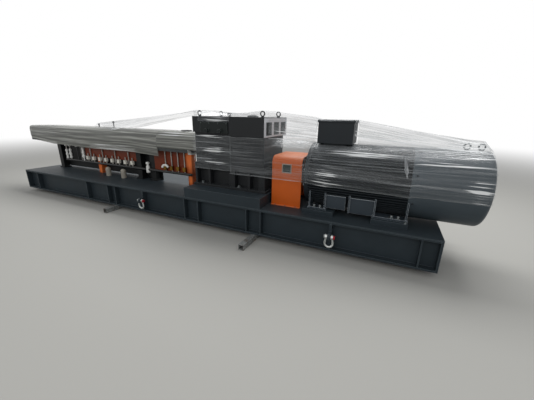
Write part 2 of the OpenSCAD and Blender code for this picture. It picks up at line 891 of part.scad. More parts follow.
// Smooth cowl with a rounded rim and rings of the inlet grille sunk in its end
module motor_cowl() {
    ring_step = grille_r / (grille_rings + 1);
    ring_slot = ring_step / 2;
    color(paint_motor)
        translate([frame_right, 0, motor_z]) rotate([0, 90, 0])
            difference() {
                rotate_extrude($fn = 96) {
                    square([motor_r, cowl_l - cowl_rim_r]);
                    square([motor_r - cowl_rim_r, cowl_l]);
                    translate([motor_r - cowl_rim_r, cowl_l - cowl_rim_r])
                        intersection() {
                            circle(r = cowl_rim_r);
                            square(cowl_rim_r);
                        }
                }
                for (i = [1 : grille_rings])
                    translate([0, 0, cowl_l - grille_depth])
                        difference() {
                            cylinder(h = 2 * grille_depth, r = ring_step * i + ring_slot);
                            translate([0, 0, -fuse])
                                cylinder(h = 3 * grille_depth, r = ring_step * i);
                        }
            }
}

// Feet of the motor: plates on the sole plates, with gussets up to the frame and a side
// panel between the two feet
foot_de_left = frame_left + foot_de_x;
foot_nde_left = frame_right + foot_nde_out - foot_nde_l;
feet = [[foot_de_left, foot_de_l], [foot_nde_left, foot_nde_l]];
foot_plate_z = deck_z + sole_t;
foot_plate_top = foot_plate_z + foot_plate_t;
foot_outer = motor_r - foot_inside;
foot_inner = foot_outer - foot_plate_w;
gusset_places = [foot_de_left + gusset_inset,
    foot_de_left + foot_de_l - gusset_inset - gusset_t,
    (foot_de_left + foot_de_l + foot_nde_left - gusset_t) / 2,
    foot_nde_left + gusset_inset,
    foot_nde_left + foot_nde_l - gusset_inset - gusset_t];
module motor_feet() {
    gusset_y = foot_outer - gusset_setback;
    panel_y = gusset_y - panel_back;
    color(paint_motor)
        both_sides() {
            for (foot = feet)
                block([foot[0], -foot_outer, foot_plate_z],
                    [foot[0] + foot[1], -foot_inner, foot_plate_top]);
            difference() {
                union() {
                    for (i = [0 : 4])
                        block([gusset_places[i], -gusset_y,
                            foot_plate_top - (i == 2 ? panel_drop : fuse)],
                            [gusset_places[i] + gusset_t, -foot_inner, motor_z - gusset_drop]);
                    block([gusset_places[1], -panel_y, foot_plate_top + panel_lift],
                        [gusset_places[2] - panel_gap, -panel_y + gusset_t,
                        motor_z - gusset_drop]);
                    block([gusset_places[2], -panel_y, foot_plate_top - panel_drop],
                        [foot_nde_left, -panel_y + gusset_t, motor_z - gusset_drop]);
                    block([foot_nde_left - fuse, -panel_y, foot_plate_top - fuse],
                        [gusset_places[3] + fuse, -panel_y + gusset_t, motor_z - gusset_drop]);
                }
                bar_x(frame_left - shield_l, frame_l + cowl_l, 0, motor_z,
                    2 * (motor_r + gusset_gap));
            }
        }
}

// Sole plates between the deck and the motor's feet
module motor_sole_plates() {
    lefts = [foot_de_left - sole_de_out, foot_nde_left + (foot_nde_l - sole_l) / 2];
    color(paint_dark)
        both_sides()
            for (left = lefts)
                block([left, -foot_outer - sole_reach, deck_z],
                    [left + sole_l, -foot_inner + sole_reach, deck_z + sole_t]);
}

module motor_terminal_box() {
    left = frame_left + terminal_x;
    bottom = motor_z + motor_r + terminal_gap;
    color(paint_motor)
        union() {
            block([left, -terminal_w / 2, bottom],
                [left + terminal_l, terminal_w / 2, bottom + terminal_h]);
            block([left - lid_reach, -terminal_w / 2 - lid_reach, bottom + terminal_h - lid_t],
                [left + terminal_l + lid_reach, terminal_w / 2 + lid_reach,
                bottom + terminal_h]);
        }
}

module motor_eye_bolts() {
    color(paint_motor)
        for (x = [cowl_right - ring_end - ring_pitch, cowl_right - ring_end])
            translate([x, 0, motor_z + motor_r]) eye_bolt();
}

// Flanged barrel modules in a row, with the screw bores open at the discharge end, the feed
// hole on top at the drive end, and the brackets that carry the cover
feed_place = barrel_right - feed_x;
bracket_w = 60;
module barrel() {
    flange_top = barrel_axis_z + barrel_flange / 2;
    color("#7b7d7c")
        difference() {
            union() {
                block([barrel_left, -barrel_w / 2, barrel_axis_z - barrel_h / 2],
                    [barrel_right, barrel_w / 2, barrel_axis_z + barrel_h / 2]);
                for (i = [0 : barrel_count]) {
                    low = max(barrel_left, barrel_left + i * module_l - barrel_flange_t);
                    high = min(barrel_right, barrel_left + i * module_l + barrel_flange_t);
                    block([low, -barrel_flange / 2, barrel_axis_z - barrel_flange / 2],
                        [high, barrel_flange / 2, flange_top]);
                    block([low, -bracket_w / 2, flange_top - fuse],
                        [high, bracket_w / 2, cover_top_z - cover_sheet]);
                }
            }
            for (side = [-1, 1])
                bar_x(barrel_left - fuse, bore_depth + fuse, side * screw_pitch / 2,
                    barrel_axis_z, screw_d);
            for (i = [0 : discharge_holes - 1])
                bar_x(barrel_left - fuse, discharge_hole_l + fuse,
                    discharge_pcd_r * cos((i + 0.5) * 360 / discharge_holes),
                    barrel_axis_z + discharge_pcd_r * sin((i + 0.5) * 360 / discharge_holes),
                    2 * discharge_hole_r);
            translate([feed_place, 0, barrel_axis_z])
                cylinder(h = barrel_h, d = feed_bore_d);
        }
}

// Sheet-metal hoods over the barrel, open underneath
module barrel_cover() {
    hood_l = (cover_right - cover_left - (cover_count - 1) * cover_gap) / cover_count;
    color("#55585a")
        difference() {
            for (i = [0 : cover_count - 1])
                translate([0, 0, cover_bottom_z])
                    along_x(cover_left + i * (hood_l + cover_gap), hood_l)
                        difference() {
                            tunnel_outline(cover_w, cover_h, cover_corner_r);
                            translate([0, -fuse])
                                tunnel_outline(cover_w - 2 * cover_sheet,
                                    cover_h - cover_sheet + fuse,
                                    cover_corner_r - cover_sheet);
                        }
            translate([feed_place, 0, barrel_axis_z])
                cylinder(h = barrel_w + cover_h, d = feed_bore_d + 2 * (feed_wall + feed_gap));
        }
}

// Neck from the barrel's feed hole up through the cover, with a bolted flange on top
module feed_port() {
    bottom = barrel_axis_z + barrel_h / 2;
    top = cover_top_z + feed_rise;
    color("#1c1f20")
        translate([feed_place, 0, bottom])
            difference() {
                union() {
                    cylinder(h = top - bottom, d = feed_bore_d + 2 * feed_wall);
                    translate([0, 0, top - bottom - feed_flange_t])
                        cylinder(h = feed_flange_t, d = feed_flange_d);
                }
                translate([0, 0, -fuse])
                    cylinder(h = top - bottom + 2 * fuse, d = feed_bore_d);
                for (i = [0 : 3])
                    rotate([0, 0, 45 + 90 * i])
                        translate([feed_pcd_r, 0, top - bottom - feed_flange_t - fuse])
                            cylinder(h = feed_flange_t + 2 * fuse, r = feed_hole_r);
            }
}

module sensor_stubs() {
    color("#1c1f20")
        for (stub = [[stub_first_x, stub_first_h], [stub_second_x, stub_second_h]])
            translate([barrel_left + stub[0], 0, cover_top_z])
                union() {
                    cylinder(h = stub[1], d = stub_d / 2);
                    translate([0, 0, stub[1] - stub_d]) cylinder(h = stub_d, d = stub_d);
                }
}

// Columns that carry the barrel, with a plate at the head and the foot and a saddle between
// two barrel flanges
module barrel_columns() {
    top = barrel_axis_z - barrel_flange / 2;
    color("#1d2123")
        for (x = columns)
            union() {
                block([x - column_l / 2, -column_w / 2, deck_z],
                    [x + column_l / 2, column_w / 2, top]);
                block([x - saddle_l / 2, -column_w / 2, top - fuse],
                    [x + saddle_l / 2, column_w / 2, barrel_axis_z - barrel_h / 2]);
                for (z = [deck_z, top - column_plate_t])
                    block([x - column_l / 2 - column_plate_reach,
                        -column_w / 2 - column_plate_reach, z],
                        [x + column_l / 2 + column_plate_reach,
                        column_w / 2 + column_plate_reach, z + column_plate_t]);
            }
}

// Orange water manifolds below the cover, the left one up to the second column and the right
// one from the third, each on a post down to the deck
water_front = -column_w / 2;
manifold_left = barrel_left + manifold_start;
manifold_l = columns[1] - column_l / 2 - manifold_left;
post_left = manifold_left + post_inset;
post_right = barrel_left + post_right_x;
manifold_right_l = post_right + post_l - columns[2] - column_l / 2;
module manifold_on_post(left, length, bottom, height, post) {
    union() {
        block([left, water_front, deck_z + bottom],
            [left + length, -water_front, deck_z + bottom + height]);
        block([post, water_front, deck_z], [post + post_l, -water_front, deck_z + bottom + fuse]);
    }
}

module water_manifold() {
    color(paint_orange) {
        manifold_on_post(manifold_left, manifold_l, manifold_z, manifold_h, post_left);
        manifold_on_post(columns[2] + column_l / 2, manifold_right_l, manifold_right_z,
            manifold_right_h, post_right);
    }
}

// A header in front of the posts and columns, with pipes up into the manifolds and, left of
// them, pairs of pipes up to the barrel
header_y = water_front - header_d / 2;
pipe_y = water_front - pipe_gap - pipe_d / 2;
fitting_pitch = manifold_l / fitting_count;
fitting_places = [for (i = [0 : fitting_count - 1]) manifold_left + (i + 0.5) * fitting_pitch];
tall_places = [for (i = [1 : 2 : fitting_count - 1]) manifold_left + i * fitting_pitch];
right_places = [for (i = [0 : right_count - 1]) post_right - (i + 1 / 3) * right_pitch];
risers = [for (i = [riser_first : riser_first + 1], step = [0, riser_pitch])
    barrel_left + (i + 0.5) * module_l + step];
header_left = risers[0] - 2 * pipe_d;
module water_pipe(x, top) {
    translate([x, pipe_y, deck_z + header_z]) cylinder(h = top - deck_z - header_z, d = pipe_d);
    translate([x, water_front, top - pipe_d]) rotate([90, 0, 0])
        cylinder(h = water_front - pipe_y, d = spigot_d);
}

module water_pipes() {
    left_underside = deck_z + manifold_z;
    right_top = deck_z + manifold_right_z + manifold_right_h;
    color(zinc)
        union() {
            bar_x(header_left, post_right + post_l - header_left, header_y,
                deck_z + header_z, header_d);
            for (x = fitting_places) water_pipe(x, left_underside + fitting_rise);
            for (x = tall_places) water_pipe(x, left_underside + manifold_h - pipe_end);
            for (x = right_places) water_pipe(x, right_top - pipe_end);
            for (x = risers)
                translate([x, pipe_y, deck_z + header_z])
                    cylinder(h = barrel_z - barrel_h / 2 - header_z, d = pipe_d);
        }
}

// Blocks round the pipes: pale fittings under the left manifold and brass valves on the right
// one
module pipe_block(x, bottom) {
    translate([x, pipe_y, bottom])
        difference() {
            translate([-valve_side / 2, -valve_side / 2, 0])
                cube([valve_side, valve_side / 2 + pipe_d / 2 + pipe_gap, valve_h]);
            translate([0, 0, -fuse]) cylinder(h = valve_h + 2 * fuse, d = pipe_d);
        }
}

module pipe_fittings() {
    color("#d6d2c6")
        for (x = fitting_places) pipe_block(x, deck_z + manifold_z - valve_h);
}

module water_valves() {
    color(brass)
        for (x = right_places) pipe_block(x, deck_z + header_z + header_d + fuse);
}

// Dark rail behind the columns, from the first to the second
module deck_rail() {
    color(paint_dark)
        block([columns[0] - column_l / 2, column_w / 2, deck_z + rail_z],
            [columns[1] + column_l / 2, column_w / 2 + rail_w, deck_z + rail_z + rail_h]);
}

// Round fittings with domed tops, on the deck in front of the header
module deck_fittings() {
    color("#cfc8b8")
        for (place = [round_first, round_second])
            translate([barrel_left + place,
                water_front - header_d - round_gap - round_d / 2, deck_z])
                union() {
                    cylinder(h = round_h, d = round_d);
                    translate([0, 0, round_h]) sphere(d = round_d);
                }
}

base_beam_front();
base_beam_back();
base_end_left();
base_end_right();
base_cross_members();
deck_plate();
stiffeners_front();
stiffeners_back();
bearer_left();
bearer_right();
lifting_lugs();
shackle_front_left();
shackle_front_right();
shackle_back_left();
shackle_back_right();
pin_front_left();
pin_front_right();
pin_back_left();
pin_back_right();
gearbox_pedestal();
gearbox_lower();
gearbox_upper();
gearbox_panels();
gearbox_eye_bolts();
output_lantern();
coupling();
coupling_guard();
motor_frame();
motor_end_shield();
motor_cowl();
motor_feet();
motor_sole_plates();
motor_terminal_box();
motor_eye_bolts();
barrel();
barrel_cover();
feed_port();
sensor_stubs();
barrel_columns();
water_manifold();
water_pipes();
pipe_fittings();
water_valves();
deck_rail();
deck_fittings();
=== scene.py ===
import math

import bmesh
import bpy
from mathutils import Matrix, Vector, noise


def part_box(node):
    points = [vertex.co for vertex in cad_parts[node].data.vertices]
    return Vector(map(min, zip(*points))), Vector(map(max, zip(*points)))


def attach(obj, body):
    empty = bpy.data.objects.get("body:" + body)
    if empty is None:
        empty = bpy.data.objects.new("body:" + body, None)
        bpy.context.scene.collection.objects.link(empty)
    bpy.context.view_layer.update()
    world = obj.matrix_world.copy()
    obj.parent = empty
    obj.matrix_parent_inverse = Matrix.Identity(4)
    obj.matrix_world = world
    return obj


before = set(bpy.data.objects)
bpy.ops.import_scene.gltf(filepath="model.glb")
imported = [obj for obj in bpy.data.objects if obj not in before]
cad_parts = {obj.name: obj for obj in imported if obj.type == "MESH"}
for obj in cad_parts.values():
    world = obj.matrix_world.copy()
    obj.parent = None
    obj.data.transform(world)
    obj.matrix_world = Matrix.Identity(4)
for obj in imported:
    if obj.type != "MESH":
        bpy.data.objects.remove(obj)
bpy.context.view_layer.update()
MM = 0.001

# ---------------------------------------------------------------- camera
PHOTO_WIDTH_PX = 534
FOCAL_PX = 266.75
SENSOR_MM = 36
CAMERA_PLACE = (3.372, -3.824, 1.743)
YAW, PITCH_DOWN, ROLL = 24.16, 17.60, 1.008  # degrees

camera_data = bpy.data.cameras.new("camera")
camera_data.sensor_width = SENSOR_MM
camera_data.lens = FOCAL_PX / PHOTO_WIDTH_PX * SENSOR_MM
camera_data.clip_end = 200
camera = bpy.data.objects.new("camera", camera_data)
bpy.context.scene.collection.objects.link(camera)
camera.matrix_world = (
    Matrix.Translation(CAMERA_PLACE)
    @ Matrix.Rotation(math.radians(YAW), 4, "Z")
    @ Matrix.Rotation(math.radians(90 - PITCH_DOWN), 4, "X")
    @ Matrix.Rotation(math.radians(ROLL), 4, "Z")
)
bpy.context.scene.camera = camera


# ---------------------------------------------------------------- materials
def linear(code):
    """A colour written as sRGB hex, as linear RGBA."""
    values = [int(code[i : i + 2], 16) / 255 for i in (1, 3, 5)]
    return [v / 12.92 if v <= 0.04045 else ((v + 0.055) / 1.055) ** 2.4 for v in values] + [1]


def add(tree, kind, inputs=(), **settings):
    """Adds a node. inputs maps an input's name or number to a value, or to a socket to link."""
    made = tree.nodes.new("ShaderNode" + kind)
    for key, value in settings.items():
        setattr(made, key, value)
    for key, value in dict(inputs).items():
        if isinstance(value, bpy.types.NodeSocket):
            tree.links.new(value, made.inputs[key])
        else:
            made.inputs[key].default_value = value
    return made


def new_material(name):
    """An empty material with a Principled shader: the material, its tree and the shader."""
    material = bpy.data.materials.new(name)
    material.use_nodes = True
    tree = material.node_tree
    return material, tree, tree.nodes["Principled BSDF"]


def link(tree, socket, shader, name):
    """Links a socket to the shader's input of that name."""
    tree.links.new(socket, shader.inputs[name])


def ramp(tree, factor, *stops):
    """A colour ramp over a factor, with stops of place and RGBA colour."""
    made = add(tree, "ValToRGB", {0: factor})
    while len(made.color_ramp.elements) < len(stops):
        made.color_ramp.elements.new(0.5)
    for element, (place, colour) in zip(made.color_ramp.elements, stops):
        element.position = place
        element.color = colour
    return made.outputs["Color"]


def grey(value):
    """A grey as RGBA."""
    return (value, value, value, 1)


def scaled(colour, share):
    """A hex colour made lighter or darker by a share of its light."""
    return [c * share for c in linear(colour)[:3]] + [1]


def edge_mask(tree, radius):
    """White along the outer edges and corners, from the bend of the rounded normal."""
    rounded = add(tree, "Bevel", {"Radius": radius}, samples=4)
    plain = add(tree, "NewGeometry")
    along = add(tree, "VectorMath", {0: rounded.outputs[0], 1: plain.outputs["Normal"]},
                operation="DOT_PRODUCT")
    return ramp(tree, along.outputs["Value"], (0.90, grey(1)), (0.99, grey(0))), rounded


def upward(tree):
    """White on faces that look up, where dust settles."""
    normal = add(tree, "NewGeometry").outputs["Normal"]
    up = add(tree, "SeparateXYZ", {0: normal}).outputs["Z"]
    return ramp(tree, up, (0.55, grey(0)), (0.95, grey(1)))


def near(tree, middle, reach):
    """1 at a place on the machine, falling to 0 at its reach along X, Y and Z."""
    place = add(tree, "TexCoord").outputs["Object"]
    away = add(tree, "VectorMath", {0: place, 1: middle}, operation="SUBTRACT").outputs[0]
    share = add(tree, "VectorMath", {0: away, 1: reach}, operation="DIVIDE").outputs[0]
    length = add(tree, "VectorMath", {0: share}, operation="LENGTH").outputs["Value"]
    return add(tree, "MapRange", {0: length, 1: 0.35, 2: 1, 3: 1, 4: 0}).outputs[0]


def strongest(tree, masks):
    """The highest of several masks at each point."""
    most = masks[0]
    for mask in masks[1:]:
        most = add(tree, "Math", {0: most, 1: mask}, operation="MAXIMUM").outputs[0]
    return most


def painted(name, colour, edge, dust, roughness, dust_share=0.3, edge_share=0.6, grain_mm=2.5,
            bump=0.12, shade=0.25, specular=0.25, painted_highlight=None, painted_highlight_at=()):
    """Sprayed enamel or powder coat on steel: soft orange-peel, paler edges (worn, and on some
    finishes a painted highlight), dust on top and a cloudy change of depth over the panels. It
    may carry a painted highlight, a brighter colour at some places, each with its reach."""
    material, tree, shader = new_material(name)
    place = add(tree, "TexCoord").outputs["Object"]
    clouds = add(tree, "TexNoise", {"Vector": place, "Scale": 3.2, "Detail": 5, "Roughness": 0.6})
    coat_colour = add(tree, "Mix", {0: clouds.outputs["Fac"], 6: scaled(colour, 1 - shade),
                                    7: scaled(colour, 1 + shade)}, data_type="RGBA").outputs[2]
    # Painted highlight: the colour turns to a brighter one at the listed places
    if painted_highlight:
        where = strongest(tree, [near(tree, *spot) for spot in painted_highlight_at])
        coat_colour = add(tree, "Mix", {0: where, 6: coat_colour, 7: linear(painted_highlight)},
                          data_type="RGBA").outputs[2]
    edges, rounded = edge_mask(tree, 6 * MM)
    # Paler edges: wear, and on the base and panel enamels a painted highlight
    edge_wear_and_highlight = add(tree, "Math", {0: edges, 1: edge_share}, operation="MULTIPLY")
    with_edges = add(tree, "Mix", {0: edge_wear_and_highlight.outputs[0], 6: coat_colour, 7: linear(edge)},
                     data_type="RGBA")
    layer = add(tree, "TexNoise", {"Vector": place, "Scale": 9, "Detail": 7, "Roughness": 0.65})
    patchy = ramp(tree, layer.outputs["Fac"], (0.35, grey(0.25)), (0.7, grey(1)))
    settled = add(tree, "Math", {0: upward(tree), 1: patchy}, operation="MULTIPLY")
    share = add(tree, "Math", {0: settled.outputs[0], 1: dust_share}, operation="MULTIPLY")
    dusty = add(tree, "Mix", {0: share.outputs[0], 6: with_edges.outputs[2], 7: linear(dust)},
                data_type="RGBA")
    link(tree, dusty.outputs[2], shader, "Base Color")
    rough = add(tree, "MapRange", {0: clouds.outputs["Fac"], 3: roughness * 0.8,
                                   4: min(1, roughness * 1.25)})
    link(tree, rough.outputs[0], shader, "Roughness")
    shader.inputs["Specular IOR Level"].default_value = specular
    peel = add(tree, "TexNoise", {"Vector": place, "Scale": 1 / (grain_mm * MM), "Detail": 2})
    wave = add(tree, "Bump", {"Height": peel.outputs["Fac"], "Strength": bump,
                              "Distance": grain_mm * MM / 3, "Normal": rounded.outputs[0]})
    link(tree, wave.outputs[0], shader, "Normal")
    return material


def bare_metal(name, light, dark, roughness, spot_mm, stain=None, brushed_along=None,
               metallic=1.0, enamelled_below=None, enamelled_at=(), enamel="#121415"):
    """Bare or zinc-coated metal: cloudy or spangled tone, roughness that follows it, fine
    drawing lines along one axis where it was drawn or turned, and stains if it has any. It may
    be enamelled below a height, and at some places, each with its reach."""
    material, tree, shader = new_material(name)
    place = add(tree, "TexCoord").outputs["Object"]
    spots = add(tree, "TexVoronoi", {"Vector": place, "Scale": 1 / (spot_mm * MM)})
    tone = add(tree, "TexNoise", {"Vector": place, "Scale": 6, "Detail": 6})
    mixed = add(tree, "Math", {0: spots.outputs["Distance"], 1: tone.outputs["Fac"]},
                operation="MULTIPLY")
    colour = ramp(tree, mixed.outputs[0], (0.1, linear(dark)), (0.42, linear(light)))
    if stain:
        blots = add(tree, "TexNoise", {"Vector": place, "Scale": 11, "Detail": 8,
                                       "Roughness": 0.7})
        where = ramp(tree, blots.outputs["Fac"], (0.52, grey(0)), (0.68, grey(0.8)))
        colour = add(tree, "Mix", {0: where, 6: colour, 7: linear(stain)},
                     data_type="RGBA").outputs[2]
    shader.inputs["Metallic"].default_value = metallic
    if enamelled_below:
        height = add(tree, "SeparateXYZ", {0: place}).outputs["Z"]
        bare = add(tree, "MapRange", {0: height, 1: enamelled_below - 2 * MM,
                                      2: enamelled_below + 2 * MM}).outputs[0]
        for spot in enamelled_at:
            bare = add(tree, "Math", {0: bare, 1: near(tree, *spot)}, operation="SUBTRACT",
                       use_clamp=True).outputs[0]
        colour = add(tree, "Mix", {0: bare, 6: linear(enamel), 7: colour},
                     data_type="RGBA").outputs[2]
        shown = add(tree, "Math", {0: bare, 1: metallic}, operation="MULTIPLY")
        link(tree, shown.outputs[0], shader, "Metallic")
    link(tree, colour, shader, "Base Color")
    rough = add(tree, "MapRange", {0: tone.outputs["Fac"], 3: roughness * 0.75,
                                   4: roughness * 1.3})
    link(tree, rough.outputs[0], shader, "Roughness")
    stretch = {None: (1, 1, 1), "X": (0.03, 1, 1), "Y": (1, 0.03, 1), "Z": (1, 1, 0.03)}
    squeezed = add(tree, "Mapping", {"Vector": place, "Scale": stretch[brushed_along]})
    lines = add(tree, "TexNoise", {"Vector": squeezed.outputs[0], "Scale": 700, "Detail": 2})
    rounded = add(tree, "Bevel", {"Radius": 2 * MM}, samples=4)
    relief = add(tree, "Bump", {"Height": lines.outputs["Fac"], "Strength": 0.1,
                                "Distance": 0.4 * MM, "Normal": rounded.outputs[0]})
    link(tree, relief.outputs[0], shader, "Normal")
    return material


def moulded_plastic(name, colour, roughness, grain_mm):
    """Injection-moulded plastic: one colour through and a fine eroded grain."""
    material, tree, shader = new_material(name)
    place = add(tree, "TexCoord").outputs["Object"]
    cloud = add(tree, "TexNoise", {"Vector": place, "Scale": 20, "Detail": 3})
    colours = ramp(tree, cloud.outputs["Fac"], (0.3, scaled(colour, 0.85)),
                   (0.7, linear(colour)))
    link(tree, colours, shader, "Base Color")
    shader.inputs["Roughness"].default_value = roughness
    grain = add(tree, "TexNoise", {"Vector": place, "Scale": 1 / (grain_mm * MM)})
    relief = add(tree, "Bump", {"Height": grain.outputs["Fac"], "Strength": 0.15,
                                "Distance": 0.2 * MM})
    link(tree, relief.outputs[0], shader, "Normal")
    return material


def stretch_film(name, clear, cloudy, creases_mm, length_mm, dark, pale, highlight_places=(), highlight_elsewhere=0.0,
                 on_top=0.0, specular=0.5):
    """Clear polyethylene stretch film, several turns thick: fine creases along the pull, pale
    against the clear film between them, in milky bands where turns lie on each other, thick at
    the rolled free edges, and a painted highlight, bright white on the crease peaks, most of it
    at listed places and along the free edges. The pull runs along U of the film's own map, in
    metres. The creases are drawn at creases_mm by length_mm, coarser than the real ones so that
    they show. Each place of painted highlight comes with its reach, and the film is denser there;
    a share sets how much painted highlight shows elsewhere, and on_top how much denser the film
    is on faces that look up."""
    material, tree, shader = new_material(name)
    pull = add(tree, "UVMap", uv_map="pull").outputs[0]
    from_edge = add(tree, "SeparateXYZ", {0: add(tree, "UVMap", uv_map="hem").outputs[0]})
    hem = add(tree, "MapRange", {0: from_edge.outputs["X"], 1: 4 * MM, 2: 26 * MM, 3: 1, 4: 0})

    def lines(spacing_mm, run_mm, detail):
        stretched = add(tree, "Mapping", {"Vector": pull, "Scale": (
            1 / (run_mm * MM), 1 / (spacing_mm * MM), 1)})
        return add(tree, "TexNoise", {"Vector": stretched.outputs[0], "Scale": 1,
                                      "Detail": detail, "Roughness": 0.6}).outputs["Fac"]

    def times(first, second):
        return add(tree, "Math", {0: first, 1: second}, operation="MULTIPLY").outputs[0]

    creases = lines(creases_mm, length_mm, 3)
    crisp = ramp(tree, creases, (0.43, grey(0)), (0.63, grey(1)))
    turns = ramp(tree, lines(creases_mm * 5, length_mm * 3, 2), (0.40, grey(0.15)),
                 (0.58, grey(1)))
    patches = ramp(tree, lines(300, 700, 3), (0.38, grey(0.35)), (0.62, grey(1)))
    amount = times(times(crisp, turns), patches)
    density = add(tree, "MapRange", {0: amount, 3: clear, 4: cloudy}).outputs[0]
    if on_top:
        top = times(times(upward(tree), patches), on_top)
        density = add(tree, "Math", {0: density, 1: top}, operation="ADD").outputs[0]
    # Painted highlight: near the listed places the creases turn white and the film denser
    highlight_here = strongest(tree, [near(tree, *g) for g in highlight_places]) if highlight_places else 0.0
    highlight_density = times(times(highlight_here, crisp), 0.65)
    highlight_lift = add(tree, "Math", {0: times(highlight_here, 0.17), 1: times(hem.outputs[0], 0.10)},
               operation="ADD").outputs[0]
    lifted = add(tree, "Math", {0: creases, 1: highlight_lift}, operation="ADD").outputs[0]
    crease_highlight = ramp(tree, lifted, (0.67 - highlight_elsewhere, grey(0)), (0.74 - highlight_elsewhere, grey(1)))
    alpha = strongest(tree, [density, highlight_density, times(crease_highlight, 0.9), times(hem.outputs[0], 0.45)])
    link(tree, alpha, shader, "Alpha")
    colour = add(tree, "Mix", {0: crisp, 6: linear(dark), 7: linear(pale)},
                 data_type="RGBA").outputs[2]
    # Painted highlight: white on the crease peaks
    colour = add(tree, "Mix", {0: crease_highlight, 6: colour, 7: linear("#f2f4f4")}, data_type="RGBA")
    link(tree, colour.outputs[2], shader, "Base Color")
    shader.inputs["Roughness"].default_value = 0.22
    shader.inputs["IOR"].default_value = 1.5
    shader.inputs["Specular IOR Level"].default_value = specular
    relief = add(tree, "Bump", {"Height": creases, "Strength": 0.7,
                                "Distance": creases_mm * MM * 0.25})
    link(tree, relief.outputs[0], shader, "Normal")
    return material


# ---------------------------------------------------------------- places on the machine
FRONT, BACK = -1, 1
SIDES = (FRONT, BACK)
UP = (0, 0, 1)
sole_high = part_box("motor_sole_plates")[1]
feet_low, feet_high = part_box("motor_feet")
frame_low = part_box("motor_frame")[0]
cowl_low, cowl_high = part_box("motor_cowl")
shield_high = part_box("motor_end_shield")[1]
lid_low, lid_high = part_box("motor_terminal_box")
guard_low, guard_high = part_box("coupling_guard")
gear_low, gear_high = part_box("gearbox_upper")
lower_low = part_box("gearbox_lower")[0]
panel_low, panel_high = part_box("gearbox_panels")
cover_low, cover_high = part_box("barrel_cover")
manifold_low, manifold_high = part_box("water_manifold")
pipes_low, pipes_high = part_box("water_pipes")
fitting_low, fitting_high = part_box("pipe_fittings")
stub_low, stub_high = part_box("sensor_stubs")
motor_axis_z = (cowl_low.z + cowl_high.z) / 2
motor_r = (cowl_high.z - cowl_low.z) / 2
ring_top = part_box("gearbox_eye_bolts")[1].z + 3 * MM
CASE_L, CASE_REACH = 550 * MM, 60 * MM
case_left = gear_high.x - CASE_L
housing_front = gear_low.y + CASE_REACH
HEADER_D = 46 * MM
header_top = pipes_low.z + HEADER_D
POST_L = 100 * MM
post_left_x = manifold_low.x + 425 * MM
post_right_x = manifold_high.x - POST_L / 2

# Alkyd enamel, sprayed on the welded frame: near black with a blue cast, dull enough to keep the
# deck dark, grey at the flange edges as a painted highlight
base_enamel = painted("base_enamel", "#2d353a", "#6d767b", "#4a5052", 0.48,
                      dust_share=0.14, edge_share=0.75, specular=0.16)
# The same enamel on the cast housing, duller
gearbox_enamel = painted("gearbox_enamel", "#1d1f21", "#3a3f44", "#4a4d4e", 0.55, grain_mm=5,
                         shade=0.3)
# Black-green enamel of the cover panels, with pale edges as a painted highlight
panel_enamel = painted("panel_enamel", "#0e1514", "#7d8785", "#39413f", 0.5, edge_share=0.7)
# Enamel on the motor's cast fins
motor_enamel = painted("motor_enamel", "#1b2024", "#3a4045", "#33393c", 0.5)
# The same enamel on the fan cowl, a thin spun sheet that stayed smoother, painted paler as a lit
# copy
cowl_enamel = painted("cowl_enamel", "#434c52", "#5b6469", "#4a5256", 0.42, grain_mm=1.5)
# The same enamel on the motor's feet, painted paler as a lit copy, with very pale edges on the
# cut plates
foot_enamel = painted("foot_enamel", "#323a41", "#c6cdd2", "#4a5157", 0.4, edge_share=1.0)
# Black enamel of the barrel's columns and the rail
column_enamel = painted("column_enamel", "#101213", "#2b3032", "#33383a", 0.5)
# Orange polyester powder coat on the guard: even, fine-grained, hardly any dust on the sides
guard_powder_coat = painted("guard_powder_coat", "#c95a0c", "#e9924a", "#e3a377", 0.5,
                            dust_share=0.5, edge_share=0.45, grain_mm=1.5, shade=0.12,
                            specular=0.4)
# Orange powder coat of the water manifolds, painted dark red-brown as painted shade under the
# barrel cover, with a painted highlight in bright orange on the posts
manifold_powder_coat = painted(
    "manifold_powder_coat", "#6b2a10", "#a0572a", "#8a5c42", 0.45, edge_share=0.5,
    grain_mm=1.5, shade=0.45, painted_highlight="#ea7a3c",
    painted_highlight_at=[((post_left_x, 0, 0.62), (0.09, 0.5, 0.28)),
               ((post_right_x, 0, 0.98), (0.11, 0.5, 0.34)),
               ((post_right_x, 0, 0.60), (0.06, 0.5, 0.16))])
# Grey painted sheet steel of the barrel cover
cover_steel = painted("cover_steel", "#3f4243", "#5b5f61", "#6a6d6e", 0.45, dust_share=0.35)
# Red enamel on the shackle pins' heads
pin_enamel = painted("pin_enamel", "#a51f2a", "#c4545a", "#8c4a4a", 0.4, dust_share=0.2)
# Hot-dip galvanised steel: pale, with a faint spangle and dull grey patches
galvanised_steel = bare_metal("galvanised_steel", "#e4e6e4", "#9da19f", 0.42, 9, metallic=0.7)
# Zinc-plated steel fasteners, dulled and slightly blue
zinc_plated_steel = bare_metal("zinc_plated_steel", "#8f9495", "#54595b", 0.4, 4)
# Zinc-plated tube of the water pipes, dull and pale, on a header pipe enamelled black. The two
# pipes left of the left manifold are dark all the way up
water_pipe_steel = bare_metal("water_pipe_steel", "#b3aea8", "#7c7772", 0.45, 12,
                              brushed_along="Z", metallic=0.4, enamelled_below=header_top,
                              enamelled_at=[((-3.0, 0, 0.9), (0.22, 0.5, 0.6))])
# Hot-rolled steel tube as it comes from the mill: worn pale scale with light rust
mill_steel = bare_metal("mill_steel", "#a3a5a3", "#6a6d6d", 0.55, 14, stain="#6e5847",
                        brushed_along="Y", metallic=0.5)
# Turned steel of the shaft and the coupling
turned_steel = bare_metal("turned_steel", "#9a9d9f", "#5c6063", 0.3, 6, brushed_along="X")
